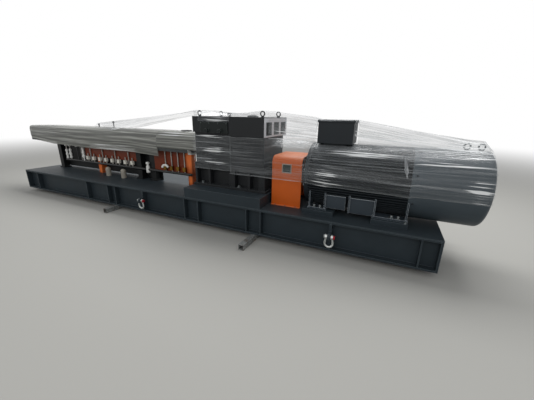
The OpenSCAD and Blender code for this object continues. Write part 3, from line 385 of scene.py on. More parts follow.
# Nitrided steel of the barrel modules: dark grey, silky
nitrided_steel = bare_metal("nitrided_steel", "#76787a", "#4a4c4e", 0.38, 10)
# Cast brass of the valves, dulled
brass = bare_metal("brass", "#8d6d30", "#57431c", 0.45, 5)
# Cream polyamide of the pipe fittings
cream_polyamide = moulded_plastic("cream_polyamide", "#f1ede1", 0.45, 1.2)
# The same plastic on the deck fittings, painted darker as painted shade
shaded_polyamide = moulded_plastic("shaded_polyamide", "#a09a8e", 0.45, 1.2)
# Black polyamide of the feed neck, the sensor stubs and the breather
black_polyamide = moulded_plastic("black_polyamide", "#151718", 0.4, 1.2)
# Pale rubber bead round the guard's window
pale_rubber = moulded_plastic("pale_rubber", "#a79a8c", 0.6, 1.5)
# Smoked acrylic pane of the guard's window, dark and glossy
smoked_acrylic = moulded_plastic("smoked_acrylic", "#2b3a35", 0.12, 6)
# White polyethylene foam round the fittings that stand proud, soft and matt
white_foam = moulded_plastic("white_foam", "#f4f4f0", 0.8, 3)
# Pale enamel of the plate on the gearbox's drive end
end_plate_enamel = painted("end_plate_enamel", "#c6c8cc", "#eceef0", "#cfd1d3", 0.4, shade=0.2)

# The film on the barrel: many turns, nearly opaque, in long grey streaks, with painted
# highlights at the listed places
film_on_barrel = stretch_film(
    "film_on_barrel", 0.84, 0.98, 42, 1900, "#6e6f6b", "#acada6", specular=0.25,
    highlight_places=[((-1.25, -0.1, 1.44), (0.5, 0.3, 0.05)), ((-0.1, -0.2, 1.40), (0.5, 0.2, 0.06)),
             ((-1.5, -0.24, 1.10), (1.1, 0.1, 0.09))])
# The film round the gearbox, the guard and the motor: a few turns, denser on top, with painted
# highlights at the listed places
film_on_drive = stretch_film(
    "film_on_drive", 0.10, 0.60, 32, 1300, "#8b8f91", "#b4b8ba", on_top=0.5,
    highlight_places=[((0.90, -0.4, 1.42), (0.36, 0.1, 0.04)), ((0.92, -0.4, 1.22), (0.30, 0.1, 0.11)),
             ((0.93, -0.4, 1.03), (0.30, 0.1, 0.10)), ((1.80, -0.36, 1.34), (0.05, 0.1, 0.10)),
             ((2.66, -0.42, 0.99), (0.28, 0.2, 0.24)), ((3.0, -0.28, 1.31), (1.0, 0.2, 0.05)),
             ((4.32, -0.36, 1.02), (0.20, 0.2, 0.26)), ((4.15, -0.22, 1.38), (0.50, 0.3, 0.16)),
             ((4.0, -0.30, 1.24), (0.5, 0.12, 0.10))])
# The single thin turn on top, with painted highlights at the listed places
film_on_top = stretch_film(
    "film_on_top", 0.14, 0.66, 36, 1200, "#92969a", "#b9bdbf", highlight_elsewhere=0.03,
    highlight_places=[((0.93, -0.39, 1.69), (0.34, 0.10, 0.11)), ((0.85, -0.3, 1.75), (0.5, 0.2, 0.10)),
             ((3.3, -0.2, 1.50), (0.8, 0.2, 0.12)), ((4.15, -0.1, 1.45), (0.4, 0.3, 0.12)),
             ((2.15, -0.2, 1.50), (0.35, 0.2, 0.12)), ((-1.1, -0.2, 1.47), (0.8, 0.2, 0.08))])
# The pleat where the film is gathered across the pull: milky, with painted highlights in white
film_gathered = stretch_film("film_gathered", 0.62, 0.92, 10, 120, "#8d9194", "#c9cccf",
                             highlight_elsewhere=0.02)

finishes = {
    "bearer": mill_steel, "shackle": galvanised_steel, "pin": pin_enamel,
    "gearbox_pedestal": base_enamel, "gearbox_panels": panel_enamel,
    "gearbox": gearbox_enamel, "output": gearbox_enamel, "coupling_guard": guard_powder_coat,
    "coupling": turned_steel, "motor_sole": base_enamel, "motor": motor_enamel,
    "motor_feet": foot_enamel, "motor_cowl": cowl_enamel, "motor_eye_bolts": zinc_plated_steel,
    "barrel_cover": cover_steel, "barrel_columns": column_enamel, "barrel": nitrided_steel,
    "feed": black_polyamide, "sensor": black_polyamide, "water_manifold": manifold_powder_coat,
    "water_pipes": water_pipe_steel, "water_valves": brass, "pipe_fittings": cream_polyamide,
    "deck_rail": column_enamel, "deck_fittings": shaded_polyamide,
}
for name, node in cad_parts.items():
    fitting = [key for key in finishes if name.startswith(key)]
    finish = finishes[max(fitting, key=len)] if fitting else base_enamel
    if not node.material_slots:
        node.data.materials.append(finish)
    for material_slot in node.material_slots:
        material_slot.material = finish


# ---------------------------------------------------------------- mesh helpers
def piece(name, mesh_code, material, body="machine", smooth=False):
    """Turns a bmesh into an object that rides on a body."""
    mesh = bpy.data.meshes.new(name)
    mesh_code.to_mesh(mesh)
    mesh_code.free()
    if smooth:
        mesh.shade_smooth()
    made = bpy.data.objects.new(name, mesh)
    bpy.context.scene.collection.objects.link(made)
    mesh.materials.append(material)
    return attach(made, body)


def turned_into(mesh_code, profile, sides, place, axis):
    """Adds a turned form: profile is a list of radius and height, swept round the axis."""
    turn = Vector((0, 0, 1)).rotation_difference(Vector(axis)).to_matrix()
    rings = []
    for radius, height in profile:
        rings.append([mesh_code.verts.new(Vector(place) + turn @ Vector((
            radius * math.cos(2 * math.pi * i / sides),
            radius * math.sin(2 * math.pi * i / sides), height))) for i in range(sides)])
    for low, high in zip(rings, rings[1:]):
        for i in range(sides):
            j = (i + 1) % sides
            mesh_code.faces.new((low[i], low[j], high[j], high[i]))
    mesh_code.faces.new(rings[-1])
    mesh_code.faces.new(rings[0][::-1])


def turned_pieces(name, profile, seats, material, sides=24):
    """The same turned form at several seats, each a place and an axis."""
    mesh_code = bmesh.new()
    for place, axis in seats:
        turned_into(mesh_code, profile, sides, place, axis)
    return piece(name, mesh_code, material)


def hex_bolts(name, seats, across, material=zinc_plated_steel):
    """Hex-head bolts on washers. seats is a list of place and outward axis, across the width
    over the head's flats."""
    mesh_code = bmesh.new()
    corner = across / math.sqrt(3)
    for place, axis in seats:
        turned_into(mesh_code, [(across * 0.95, 0), (across * 0.95, across * 0.09),
                                (across * 0.88, across * 0.13)], 16, place, axis)
        head = Vector(place) + Vector(axis) * across * 0.13
        turned_into(mesh_code, [(corner, 0), (corner, across * 0.55),
                                (across * 0.47, across * 0.66)], 6, head, axis)
    return piece(name, mesh_code, material)


def boxes(name, corners, material, bevel=0.0):
    """Plates given by their lowest and highest corners, with edges eased when a bevel is given.
    """
    mesh_code = bmesh.new()
    for low, high in corners:
        made = bmesh.ops.create_cube(mesh_code, size=1)["verts"]
        middle = (Vector(low) + Vector(high)) / 2
        size = Vector(high) - Vector(low)
        for vert in made:
            vert.co = Vector(c * s for c, s in zip(vert.co, size)) + middle
    if bevel:
        bmesh.ops.bevel(mesh_code, geom=mesh_code.edges[:], offset=bevel, segments=2,
                        affect="EDGES", profile=0.5)
    return piece(name, mesh_code, material)


def bent_tube(name, points, radius, material, sides=12):
    """A tube along a line of points, with flat ends."""
    mesh_code = bmesh.new()
    line = [Vector(p) for p in points]
    rings = []
    for i, point in enumerate(line):
        run = (line[min(i + 1, len(line) - 1)] - line[max(i - 1, 0)]).normalized()
        across = run.orthogonal().normalized() if not rings else (
            across - run * across.dot(run)).normalized()
        upright = run.cross(across)
        rings.append([mesh_code.verts.new(
            point + radius * (across * math.cos(2 * math.pi * j / sides)
                              + upright * math.sin(2 * math.pi * j / sides)))
            for j in range(sides)])
    for low, high in zip(rings, rings[1:]):
        for j in range(sides):
            k = (j + 1) % sides
            mesh_code.faces.new((low[j], low[k], high[k], high[j]))
    mesh_code.faces.new(rings[-1])
    mesh_code.faces.new(rings[0][::-1])
    return piece(name, mesh_code, material, smooth=True)


# ---------------------------------------------------------------- fasteners
# Hold-down bolts on the motor's feet, two on the left foot and two on the right foot of a side
FOOT_PLATE_T = 26 * MM
foot_plate_top = sole_high.z + FOOT_PLATE_T
foot_bolt_y = -feet_low.y - 45 * MM
FOOT_BOLTS = (feet_low.x + 85 * MM, feet_low.x + 165 * MM, feet_high.x - 107 * MM,
              feet_high.x - 182 * MM)
hex_bolts("foot_bolts", [((x, side * foot_bolt_y, foot_plate_top), UP)
                         for x in FOOT_BOLTS for side in SIDES], 38 * MM)
# Bolt at the outer right corner of the sole plates, in from the end and from the long edge
END_INSET, EDGE_INSET = 30 * MM, 22 * MM
hex_bolts("sole_bolts", [
    ((sole_high.x - END_INSET, side * (sole_high.y - EDGE_INSET), sole_high.z), UP)
    for side in SIDES], 24 * MM)
# Foundation bolts of the gearbox, on the foot flange in the first and third bay between the ribs
GEARBOX_FOOT_T, GEARBOX_BOLT_INSET = 34 * MM, 38 * MM
GEARBOX_BOLTS = (120 * MM, 798 * MM)
gearbox_bolt_y = gear_high.y - CASE_REACH - GEARBOX_BOLT_INSET
hex_bolts("gearbox_bolts", [
    ((gear_low.x + x, side * gearbox_bolt_y, lower_low.z + GEARBOX_FOOT_T), UP)
    for x in GEARBOX_BOLTS for side in SIDES], 40 * MM)
# Screws along the top of the cover panels
PANEL_SCREW_INSET = 16 * MM
BOSS_LENGTH = 38 * MM
panel_face = panel_high.y - BOSS_LENGTH + 1 * MM
panel_run = panel_high.x - panel_low.x - 2 * PANEL_SCREW_INSET
hex_bolts("panel_screws", [
    ((panel_low.x + PANEL_SCREW_INSET + i / 3 * panel_run, side * panel_face,
      panel_high.z - PANEL_SCREW_INSET), (0, side, 0))
    for i in range(4) for side in SIDES], 12 * MM, panel_enamel)
# Screws on the terminal box's lid
LID_INSET = 16 * MM
hex_bolts("lid_screws", [
    ((x, y, lid_high.z), UP)
    for x in (lid_low.x + LID_INSET, (lid_low.x + lid_high.x) / 2, lid_high.x - LID_INSET)
    for y in (lid_low.y + LID_INSET, lid_high.y - LID_INSET)], 13 * MM, motor_enamel)


def around_motor(x, radius, count, facing):
    """Seats of count bolts on a circle round the motor's axis."""
    seats = []
    for i in range(count):
        angle = 2 * math.pi * (i + 0.5) / count
        y, z = math.cos(angle), math.sin(angle)
        outward = (0, y, z) if facing == "out" else (facing, 0, 0)
        seats.append(((x, radius * y, motor_axis_z + radius * z), outward))
    return seats


# Bolts round the rim of the motor's end shield
SHIELD_RIM_T, SHIELD_BOLT_R = 56 * MM, 390 * MM
hex_bolts("shield_bolts", around_motor(shield_high.x - SHIELD_RIM_T, SHIELD_BOLT_R, 12, -1),
          24 * MM)
# Screws that hold the cowl to the frame, just right of the feet's end gussets
COWL_SCREW_CLEARANCE = 15 * MM
hex_bolts("cowl_screws",
          around_motor(feet_high.x + COWL_SCREW_CLEARANCE, motor_r, 8, "out"), 13 * MM,
          motor_enamel)
# Screws on the guard's bottom flanges, which are as thick as its sheet
GUARD_SHEET, GUARD_SCREW_INSET = 4 * MM, 13 * MM
hex_bolts("guard_screws", [
    ((guard_low.x + u * (guard_high.x - guard_low.x), side * (guard_high.y - GUARD_SCREW_INSET),
      guard_low.z + GUARD_SHEET), UP)
    for u in (0.15, 0.5, 0.85) for side in SIDES], 13 * MM)
# Bolts of the coupling's disc, which is in the middle of the coupling
coupling_low, coupling_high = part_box("coupling")
coupling_x = (coupling_low.x + coupling_high.x) / 2
HALF_DISC, COUPLING_BOLT_R = 21 * MM, 128 * MM
hex_bolts("coupling_bolts",
          around_motor(coupling_x - HALF_DISC, COUPLING_BOLT_R, 8, -1)
          + around_motor(coupling_x + HALF_DISC, COUPLING_BOLT_R, 8, 1), 19 * MM)
# Zinc-plated nut on the left end of each shackle's pin
NUT_ACROSS, NUT_L = 47 * MM, 20 * MM
for place in ("front_left", "front_right", "back_left", "back_right"):
    pin_low, pin_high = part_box("pin_" + place)
    middle = (pin_low + pin_high) / 2
    nut = bmesh.new()
    turned_into(nut, [(NUT_ACROSS / 2, 0), (NUT_ACROSS / math.sqrt(3), 3 * MM),
                      (NUT_ACROSS / math.sqrt(3), NUT_L - 3 * MM), (NUT_ACROSS / 2, NUT_L)], 6,
                (pin_low.x + NUT_L - 1 * MM, middle.y, middle.z), (-1, 0, 0))
    piece("nut_" + place, nut, zinc_plated_steel, "shackle_" + place)

# ---------------------------------------------------------------- guard window
# The window's opening in the guard's sides, set in a pale bead with a smoked pane behind it
GUARD_LIP, BEAD, BEAD_DEPTH = 30 * MM, 13 * MM, 5 * MM
WINDOW_W, WINDOW_H, WINDOW_Z = 118 * MM, 105 * MM, 552 * MM
window_x = (guard_low.x + guard_high.x) / 2
window_z = guard_low.z + WINDOW_Z
side_y = guard_high.y - GUARD_LIP


def between(side, near_y, far_y):
    """Two distances from the centre plane as lowest and highest Y on a side."""
    return sorted((side * near_y, side * far_y))


beads, panes = [], []
for side in SIDES:
    low_y, high_y = between(side, side_y, side_y + BEAD_DEPTH)
    for dx, dz, w, h in ((0, WINDOW_H / 2, WINDOW_W + 2 * BEAD, BEAD),
                         (0, -WINDOW_H / 2 - BEAD, WINDOW_W + 2 * BEAD, BEAD),
                         (-WINDOW_W / 2 - BEAD / 2, -WINDOW_H / 2, BEAD, WINDOW_H),
                         (WINDOW_W / 2 + BEAD / 2, -WINDOW_H / 2, BEAD, WINDOW_H)):
        beads.append(((window_x + dx - w / 2, low_y, window_z + dz),
                      (window_x + dx + w / 2, high_y, window_z + dz + h)))
    low_y, high_y = between(side, side_y - GUARD_SHEET, side_y)
    panes.append(((window_x - WINDOW_W / 2, low_y, window_z - WINDOW_H / 2),
                  (window_x + WINDOW_W / 2, high_y, window_z + WINDOW_H / 2)))
boxes("guard_window_bead", beads, pale_rubber, bevel=2 * MM)
boxes("guard_window_pane", panes, smoked_acrylic)

# ---------------------------------------------------------------- gearbox fittings
# Pale plate on the drive end of the upper housing, with three dark openings
END_PLATE_T, END_PLATE_INSET, END_PLATE_REACH = 6 * MM, 12 * MM, 270 * MM
OPENING_W, OPENING_H, OPENING_PITCH, OPENING_DOWN = 190 * MM, 180 * MM, 270 * MM, 65 * MM
plate_low_z, plate_high_z = gear_high.z - END_PLATE_REACH, gear_high.z - END_PLATE_INSET
opening_z = gear_high.z - OPENING_DOWN - OPENING_H
boxes("gearbox_end_plate", [
    ((gear_high.x, gear_low.y + END_PLATE_INSET, plate_low_z),
     (gear_high.x + END_PLATE_T, gear_high.y - END_PLATE_INSET, plate_high_z))],
    end_plate_enamel, bevel=2 * MM)
boxes("gearbox_end_openings", [
    ((gear_high.x + END_PLATE_T, y - OPENING_W / 2, opening_z),
     (gear_high.x + END_PLATE_T + 2 * MM, y + OPENING_W / 2, opening_z + OPENING_H))
    for y in (-OPENING_PITCH, 0, OPENING_PITCH)], panel_enamel, bevel=1 * MM)
# Breather and inspection cover on top of the housing, measured from its left end
BREATHER_X, INSPECTION_X = 440 * MM, 860 * MM
turned_pieces("gearbox_breather", [(0.018, 0), (0.018, 0.02), (0.036, 0.022), (0.036, 0.046),
                                   (0.030, 0.054)],
              [((gear_low.x + BREATHER_X, 0, gear_high.z), UP)], black_polyamide)
turned_pieces("gearbox_inspection_cover", [(0.085, 0), (0.085, 0.014), (0.070, 0.022),
                                           (0.030, 0.030)],
              [((gear_low.x + INSPECTION_X, 0, gear_high.z), UP)], gearbox_enamel)

# ---------------------------------------------------------------- water fittings
pipe_y = (fitting_low.y + fitting_high.y) / 2
# Foam sleeve over the end that stands proud between the second and third columns
SLEEVE_FROM_RIGHT, SLEEVE_UNDER_HEADER = 1062 * MM, 41 * MM
turned_pieces("foam_sleeves", [(0.028, 0), (0.036, 0.012), (0.034, 0.125), (0.020, 0.150),
                               (0.020, 0.160), (0.035, 0.180), (0.030, 0.211)],
              [((manifold_high.x - SLEEVE_FROM_RIGHT, pipe_y,
                 pipes_low.z - SLEEVE_UNDER_HEADER), UP)], white_foam)
# Lumpy foam sleeves on the first two risers from the left, and one that stands on the header
# pipe beside the left manifold
RISER_X = (-3.38, -3.25, -3.00)
FOAM_T = 16 * MM
turned_pieces("foam_lumps", [(0.016, 0), (0.029, 0.02), (0.021, 0.06), (0.030, 0.10),
                             (0.020, 0.15), (0.028, 0.19), (0.016, 0.22)],
              [((RISER_X[0], pipe_y, header_top - 2 * MM), UP),
               ((RISER_X[1], pipe_y, header_top + 10 * MM), UP)], white_foam)
turned_pieces("foam_sleeve_by_manifold", [
    (0.014, 0), (0.014, 0.055), (0.026, 0.07), (0.031, 0.10), (0.021, 0.14), (0.031, 0.18),
    (0.022, 0.22), (0.029, 0.26), (0.018, 0.30)],
              [((manifold_low.x - 44 * MM, pipe_y, header_top - 8 * MM), UP)], white_foam)
boxes("foam_corner", [
    ((post_right_x - 20 * MM, manifold_low.y - FOAM_T, manifold_high.z - 45 * MM),
     (post_right_x + 58 * MM, manifold_high.y + FOAM_T, manifold_high.z + 40 * MM))],
    white_foam, bevel=14 * MM)
# Pale collars on the risers, just under the film's edge
COLLAR_DOWN = 145 * MM
turned_pieces("riser_collars", [(0.024, 0), (0.030, 0.008), (0.030, 0.042), (0.022, 0.050)],
              [((x, pipe_y, pipes_high.z - COLLAR_DOWN), UP) for x in RISER_X], white_foam)
# Dark sheets behind the water row. The photograph shows dark, and no light, in the gaps left of
# the left manifold, between the fittings and between the second and third columns, but not what
# stands there: they are plain sheets in just those places
COLUMN_W, BACKING_SHEET = 120 * MM, 6 * MM
SECOND_COLUMN_X, THIRD_COLUMN_X = -1.127, -0.758
LEFT_MANIFOLD_UNDERSIDE = 825 * MM
column_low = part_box("barrel_columns")[0]
rail_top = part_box("deck_rail")[1].z
backing_y = COLUMN_W / 2
boxes("dark_backing", [
    ((column_low.x + COLUMN_W, backing_y, rail_top),
     (manifold_low.x, backing_y + BACKING_SHEET, cover_low.z)),
    ((manifold_low.x, backing_y, rail_top),
     (SECOND_COLUMN_X, backing_y + BACKING_SHEET, LEFT_MANIFOLD_UNDERSIDE + 20 * MM)),
    ((SECOND_COLUMN_X, backing_y, column_low.z),
     (THIRD_COLUMN_X + COLUMN_W, backing_y + BACKING_SHEET, cover_low.z))],
    column_enamel, bevel=1 * MM)
# White elbow at the right manifold's start, an arch just in front of the pipes' centres
ELBOW_REACH, ELBOW_RISE, ELBOW_R = 70 * MM, 55 * MM, 22 * MM
elbow_x, elbow_y, elbow_z = manifold_high.x - 600 * MM, pipe_y - 12 * MM, fitting_low.z + 20 * MM
bent_tube("white_elbow", [
    (elbow_x - ELBOW_REACH * math.cos(a), elbow_y, elbow_z + ELBOW_RISE * math.sin(a))
    for a in (math.pi * i / 12 for i in range(12))], ELBOW_R, white_foam)


# ---------------------------------------------------------------- stretch film
def wrap(points):
    """The upper outline that a film pulled over these points takes, from front to back."""
    def turn(o, a, b):
        return (a[0] - o[0]) * (b[1] - o[1]) - (a[1] - o[1]) * (b[0] - o[0])
    hull = []
    for point in sorted(set(points), reverse=True):
        while len(hull) > 1 and turn(hull[-2], hull[-1], point) <= 0:
            hull.pop()
        hull.append(point)
    return hull[::-1]


def spread(outline, count):
    """The outline as count points at equal steps."""
    line = [Vector(p) for p in outline]
    lengths = [0]
    for a, b in zip(line, line[1:]):
        lengths.append(lengths[-1] + (b - a).length)
    made = []
    for i in range(count):
        at = lengths[-1] * i / (count - 1)
        k = max(j for j in range(len(line) - 1) if lengths[j] <= at + 1e-9)
        share = (at - lengths[k]) / max(lengths[k + 1] - lengths[k], 1e-9)
        made.append(line[k].lerp(line[k + 1], share))
    return made


def film_piece(name, grid, maps, material):
    """Makes a film from rows of points. maps holds each point's place along the pull and across
    it, and its distance from the nearest free edge."""
    mesh_code = bmesh.new()
    pull, hem = (mesh_code.loops.layers.uv.new(key) for key in ("pull", "hem"))
    rows = [[mesh_code.verts.new(point) for point in row] for row in grid]
    spots = {vert: spot for row, row_maps in zip(rows, maps)
             for vert, spot in zip(row, row_maps)}
    for a, b in zip(rows, rows[1:]):
        for j in range(len(a) - 1):
            for loop in mesh_code.faces.new((a[j], a[j + 1], b[j + 1], b[j])).loops:
                u, v, edge = spots[loop.vert]
                loop[pull].uv, loop[hem].uv = (u, v), (edge, 0)
    area = sum(face.calc_area() for face in mesh_code.faces)
    made = piece(name, mesh_code, material, smooth=True)
    return made


def film(name, stations, material, across, step=0.06, ripple=4 * MM, ragged=8 * MM):
    """A film pulled along the machine. stations is a list of x and the outline there, as (y, z)
    points, and across is how many points a row has. It ripples across the pull, and its free
    edges are ragged."""
    rows = []
    for (x0, outline0), (x1, outline1) in zip(stations, stations[1:]):
        low, high = spread(outline0, across), spread(outline1, across)
        steps = max(1, round(abs(x1 - x0) / step))
        for i in range(steps):
            t = i / steps
            rows.append([Vector((x0 + t * (x1 - x0), *a.lerp(b, t)))
                         for a, b in zip(low, high)])
    rows.append([Vector((stations[-1][0], *p)) for p in spread(stations[-1][1], across)])
    widths = [sum((b - a).length for a, b in zip(row, row[1:])) for row in rows]
    grid, maps = [], []
    for row, width in zip(rows, widths):
        moved_row, row_maps = [], []
        for j, point in enumerate(row):
            before, after = row[max(j - 1, 0)], row[min(j + 1, across - 1)]
            run = (after - before).normalized()
            out = Vector((0, -run.z, run.y))
            share = j / (across - 1)
            v = max(widths) * share
            wave = noise.noise(Vector((point.x * 1.2, v * 14, 0))) \
                + 0.4 * noise.noise(Vector((point.x * 2.5, v * 45, 5)))
            moved = point - out * ripple * wave
            if share in (0, 1):
                moved -= run * ragged * noise.noise(Vector((point.x * 4, 9, 0)))
            moved_row.append(moved)
            row_maps.append((point.x, v, width * min(share, 1 - share)))
        grid.append(moved_row)
        maps.append(row_maps)
    return film_piece(name, grid, maps, material)


FILM_GAP = 7 * MM
wrap_r = motor_r + FILM_GAP
gear_edge = gear_high.y + FILM_GAP
housing_edge = -housing_front + FILM_GAP
lid_top = lid_high.z + FILM_GAP
film_top_on_housing = gear_high.z - 275 * MM


def arc(first, last, radius=wrap_r, count=24):
    """Points on the circle round the motor's axis, between two angles in degrees from +Y."""
    return [(radius * math.cos(math.radians(first + (last - first) * i / count)),
             motor_axis_z + radius * math.sin(math.radians(first + (last - first) * i / count)))
            for i in range(count + 1)]


def mirrored(half):
    """Both sides of a list of support points."""
    return [(-y, z) for y, z in half] + list(half)


FULL_BULGE = 28 * MM


def barrel_outline(bulge, skirt_z):
    """Over the barrel cover, from a skirt on the front to one on the back. The film stands off
    the cover's flat sides and top by the bulge, so that the box under it reads as rounded. The
    more it bulges, the rounder its corners."""
    edge = cover_high.y + FILM_GAP + bulge
    middle_z = (cover_low.z + cover_high.z) / 2 - 40 * MM
    rise = cover_high.z + FILM_GAP + bulge - middle_z
    power = 2 / (6 - 3 * bulge / FULL_BULGE)
    half = [(edge - 30 * MM, skirt_z), (edge - 8 * MM, skirt_z + 0.3 * (middle_z - skirt_z))]
    half += [(edge * math.cos(a) ** power, middle_z + rise * math.sin(a) ** power)
             for a in (math.radians(7.5 * i) for i in range(12))]
    return [(-y, z) for y, z in half] + [(0, middle_z + rise)] + half[::-1]


# The film along the barrel: place along the machine, bulge in mm and height of the lower edge
BARREL_SKIRT = [(-3.6, 18, 1.05), (-2.6, 26, 1.03), (-1.05, 28, 1.035), (-0.43, 28, 1.005),
                (-0.42, 28, 1.150), (0.50, 24, 1.150)]
film("film_over_barrel",
     [(cover_low.x + 2 * MM, barrel_outline(0, cover_low.z + 5 * MM))]
     + [(x, barrel_outline(bulge * MM, z)) for x, bulge, z in BARREL_SKIRT],
     film_on_barrel, across=140)


def drive_outlines(side):
    """Where the turns round the gearbox, the guard and the motor lie on one side: place along
    the machine and outline from the free lower edge upwards."""
    housing = [(housing_edge, 0.915), (housing_edge, film_top_on_housing)]
    case = [(gear_edge, 0.895), (gear_edge, film_top_on_housing)]
    over_guard = [(0.445, 0.893), (0.44, 1.20), (0.38, 1.33), (0.20, 1.42)]
    stations = [(gear_low.x - 8 * MM, housing), (case_left - 12 * MM, housing),
                (case_left + 6 * MM, case), (gear_high.x + 6 * MM, case),
                (guard_low.x, over_guard), (guard_high.x, over_guard),
                (frame_low.x, arc(-8, 90)), (frame_low.x + 0.25, arc(-10, 90)),
                (cowl_low.x, arc(-12, 90)), (cowl_low.x + 0.06, arc(-10, 90)),
                (cowl_high.x - 25 * MM, arc(-10, 90)),
                (cowl_high.x - 2 * MM, arc(-10, 90, wrap_r - 22 * MM))]
    return [(x, [(side * y, z) for y, z in outline]) for x, outline in stations]


for side, place in ((FRONT, "front"), (BACK, "back")):
    film("film_round_drive_" + place, drive_outlines(side), film_on_drive,
         across=110)

# The thin film on top: from the first stub over the second up to the gearbox's eye bolts, over
# the gearbox and the terminal box, and down to the cowl. Place along the machine and what holds
# the film up there, on one side
second_stub_x = stub_high.x - 20 * MM
ring_y = 0.295
on_gearbox = gear_high.z + FILM_GAP
ON_HOUSING = [(housing_edge, 1.645), (housing_edge, on_gearbox)]
AT_EYE_BOLTS = [(0.33, on_gearbox), (ring_y, ring_top)]
OVER_LID = [(0.215, 1.69), (0.21, lid_top)]
VEIL = [
    (stub_low.x, [(0.20, 1.37), (0.02, 1.535)]),
    (second_stub_x, [(0.20, 1.38), (0.02, stub_high.z + 4 * MM)]),
    (gear_low.x - 34 * MM, [(0.22, 1.42), (ring_y, ring_top)]),
    (gear_low.x - 2 * MM, AT_EYE_BOLTS), (gear_low.x + 0.05, AT_EYE_BOLTS),
    (gear_low.x + 0.11, ON_HOUSING + [(ring_y, ring_top - 12 * MM)]),
    (case_left - 40 * MM, ON_HOUSING + [(0.29, 1.755)]),
    (case_left - 8 * MM, [(0.33, on_gearbox), (0.29, 1.76)]),
    (gear_high.x - 0.085, AT_EYE_BOLTS),
    (gear_high.x + 12 * MM, [(0.30, 1.43), (0.28, 1.785)]),
    (guard_high.x, [(0.24, 1.42), (0.22, 1.73)]),
    (lid_low.x - 12 * MM, [(0.215, 1.40), (0.21, lid_top)]),
    (lid_low.x - 4 * MM, OVER_LID), (lid_high.x + 4 * MM, OVER_LID),
    (lid_high.x + 12 * MM, [(0.215, 1.38), (0.21, lid_top)]),
    (cowl_low.x, [(0.22, 1.35), (0.12, 1.585)]),
    (cowl_high.x - 0.25, [(0.20, 1.36), (0.03, 1.515)]),
    (cowl_high.x - 0.10, [(0.20, 1.36), (0.03, 1.505)]),
    (cowl_high.x - 4 * MM, [(0.18, 1.34), (0.03, 1.40)])]
film("film_veil", [(x, wrap(mirrored(half))) for x, half in VEIL], film_on_top,
     across=110, ripple=5 * MM)


def gathered_fold(name, side, x, lean, first, last, width):
    """A pleat where the film is gathered across the pull. It stands on the motor's wrap between
    two angles, leans along the machine from x on, and is widest in the middle."""
    grid, maps, count = [], [], 26
    length = wrap_r * math.radians(first - last)
    for i in range(count + 1):
        share = i / count
        angle = math.radians(first + (last - first) * share)
        half = width / 2 * (0.25 + math.sin(math.pi * share)) \
            * (1 + 0.5 * noise.noise(Vector((share * 9, 3, side))))
        row, row_maps = [], []
        for u in range(7):
            radius = wrap_r + (3 + 9 * (u % 2)) * MM
            row.append((x + lean * share + half * (u / 3 - 1),
                        side * radius * math.cos(angle),
                        motor_axis_z + radius * math.sin(angle)))
            row_maps.append((length * share, half * u / 3, length * min(share, 1 - share)))
        grid.append(row)
        maps.append(row_maps)
    return film_piece(name, grid, maps, film_gathered)


for side, place in ((FRONT, "front"), (BACK, "back")):
    gathered_fold("film_fold_" + place, side, cowl_low.x - 0.10, 0.05, 50, 16, 34 * MM)

# ---------------------------------------------------------------- floor and light
FLOOR_HALF, FADE_FROM, FADE_TO = 60, 7, 22  # the fade's distances are from the machine's middle
mesh_code = bmesh.new()
bmesh.ops.create_grid(mesh_code, x_segments=1, y_segments=1, size=FLOOR_HALF)
floor_mesh = bpy.data.meshes.new("floor")
mesh_code.to_mesh(floor_mesh)
mesh_code.free()
floor = bpy.data.objects.new("floor", floor_mesh)
bpy.context.scene.collection.objects.link(floor)


def seen_rays(tree):
    """1 for what the camera sees straight, in a reflection or through glass."""
    rays = add(tree, "LightPath")
    seen = add(tree, "Math", {0: rays.outputs["Is Camera Ray"],
                              1: rays.outputs["Is Glossy Ray"]}, operation="MAXIMUM")
    return add(tree, "Math", {0: seen.outputs[0], 1: rays.outputs["Is Transmission Ray"]},
               operation="MAXIMUM").outputs[0]


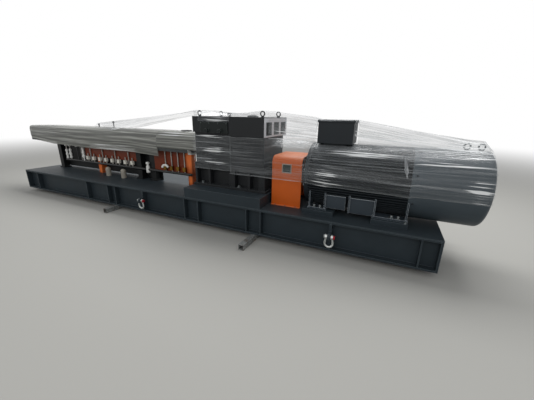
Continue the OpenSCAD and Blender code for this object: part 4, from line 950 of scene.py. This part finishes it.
# Pale sealed concrete, plain, that runs out into the white backdrop far from the machine
sealed_concrete, floor_tree, floor_shader = new_material("sealed_concrete")
floor_shader.inputs["Base Color"].default_value = linear("#a9a8a3")
floor_shader.inputs["Roughness"].default_value = 0.85
floor_place = add(floor_tree, "TexCoord").outputs["Object"]
away = add(floor_tree, "VectorMath", {0: floor_place}, operation="LENGTH").outputs["Value"]
far = add(floor_tree, "MapRange", {0: away, 1: FADE_FROM, 2: FADE_TO},
          interpolation_type="SMOOTHSTEP")
faded = add(floor_tree, "Math", {0: far.outputs[0], 1: seen_rays(floor_tree)},
            operation="MULTIPLY")
backdrop_white = add(floor_tree, "Emission", {0: grey(1), 1: 1.0})
floor_mix = add(floor_tree, "MixShader", {0: faded.outputs[0], 1: floor_shader.outputs[0],
                                          2: backdrop_white.outputs[0]})
floor_tree.links.new(floor_mix.outputs[0], floor_tree.nodes["Material Output"].inputs[0])
floor_mesh.materials.append(sealed_concrete)

world = bpy.data.worlds.new("studio")
bpy.context.scene.world = world
world.use_nodes = True
sky = world.node_tree
backdrop = add(sky, "Background", {"Color": grey(1), "Strength": 1.0})
ambient = add(sky, "Background", {"Color": linear("#f3f5f8"), "Strength": 0.5})
chosen = add(sky, "MixShader", {0: seen_rays(sky), 1: ambient.outputs[0],
                                2: backdrop.outputs[0]})
sky.links.new(chosen.outputs[0], sky.nodes["World Output"].inputs[0])


def softbox(name, place, target, size, watts):
    """A rectangular light at a place, turned to a target."""
    data = bpy.data.lights.new(name, "AREA")
    data.shape = "RECTANGLE"
    data.size, data.size_y = size
    data.energy = watts
    lamp = bpy.data.objects.new(name, data)
    bpy.context.scene.collection.objects.link(lamp)
    lamp.location = place
    aim = Vector(target) - Vector(place)
    lamp.rotation_euler = aim.to_track_quat("-Z", "Y").to_euler()


softbox("softbox_above", (0.5, 3.0, 6.5), (0.3, 0, 0.8), (11, 3), 620)
softbox("softbox_front", (2.5, -8.0, 5.0), (0.5, 0, 0.8), (8, 2.5), 150)

bpy.context.scene.view_settings.view_transform = "Standard"
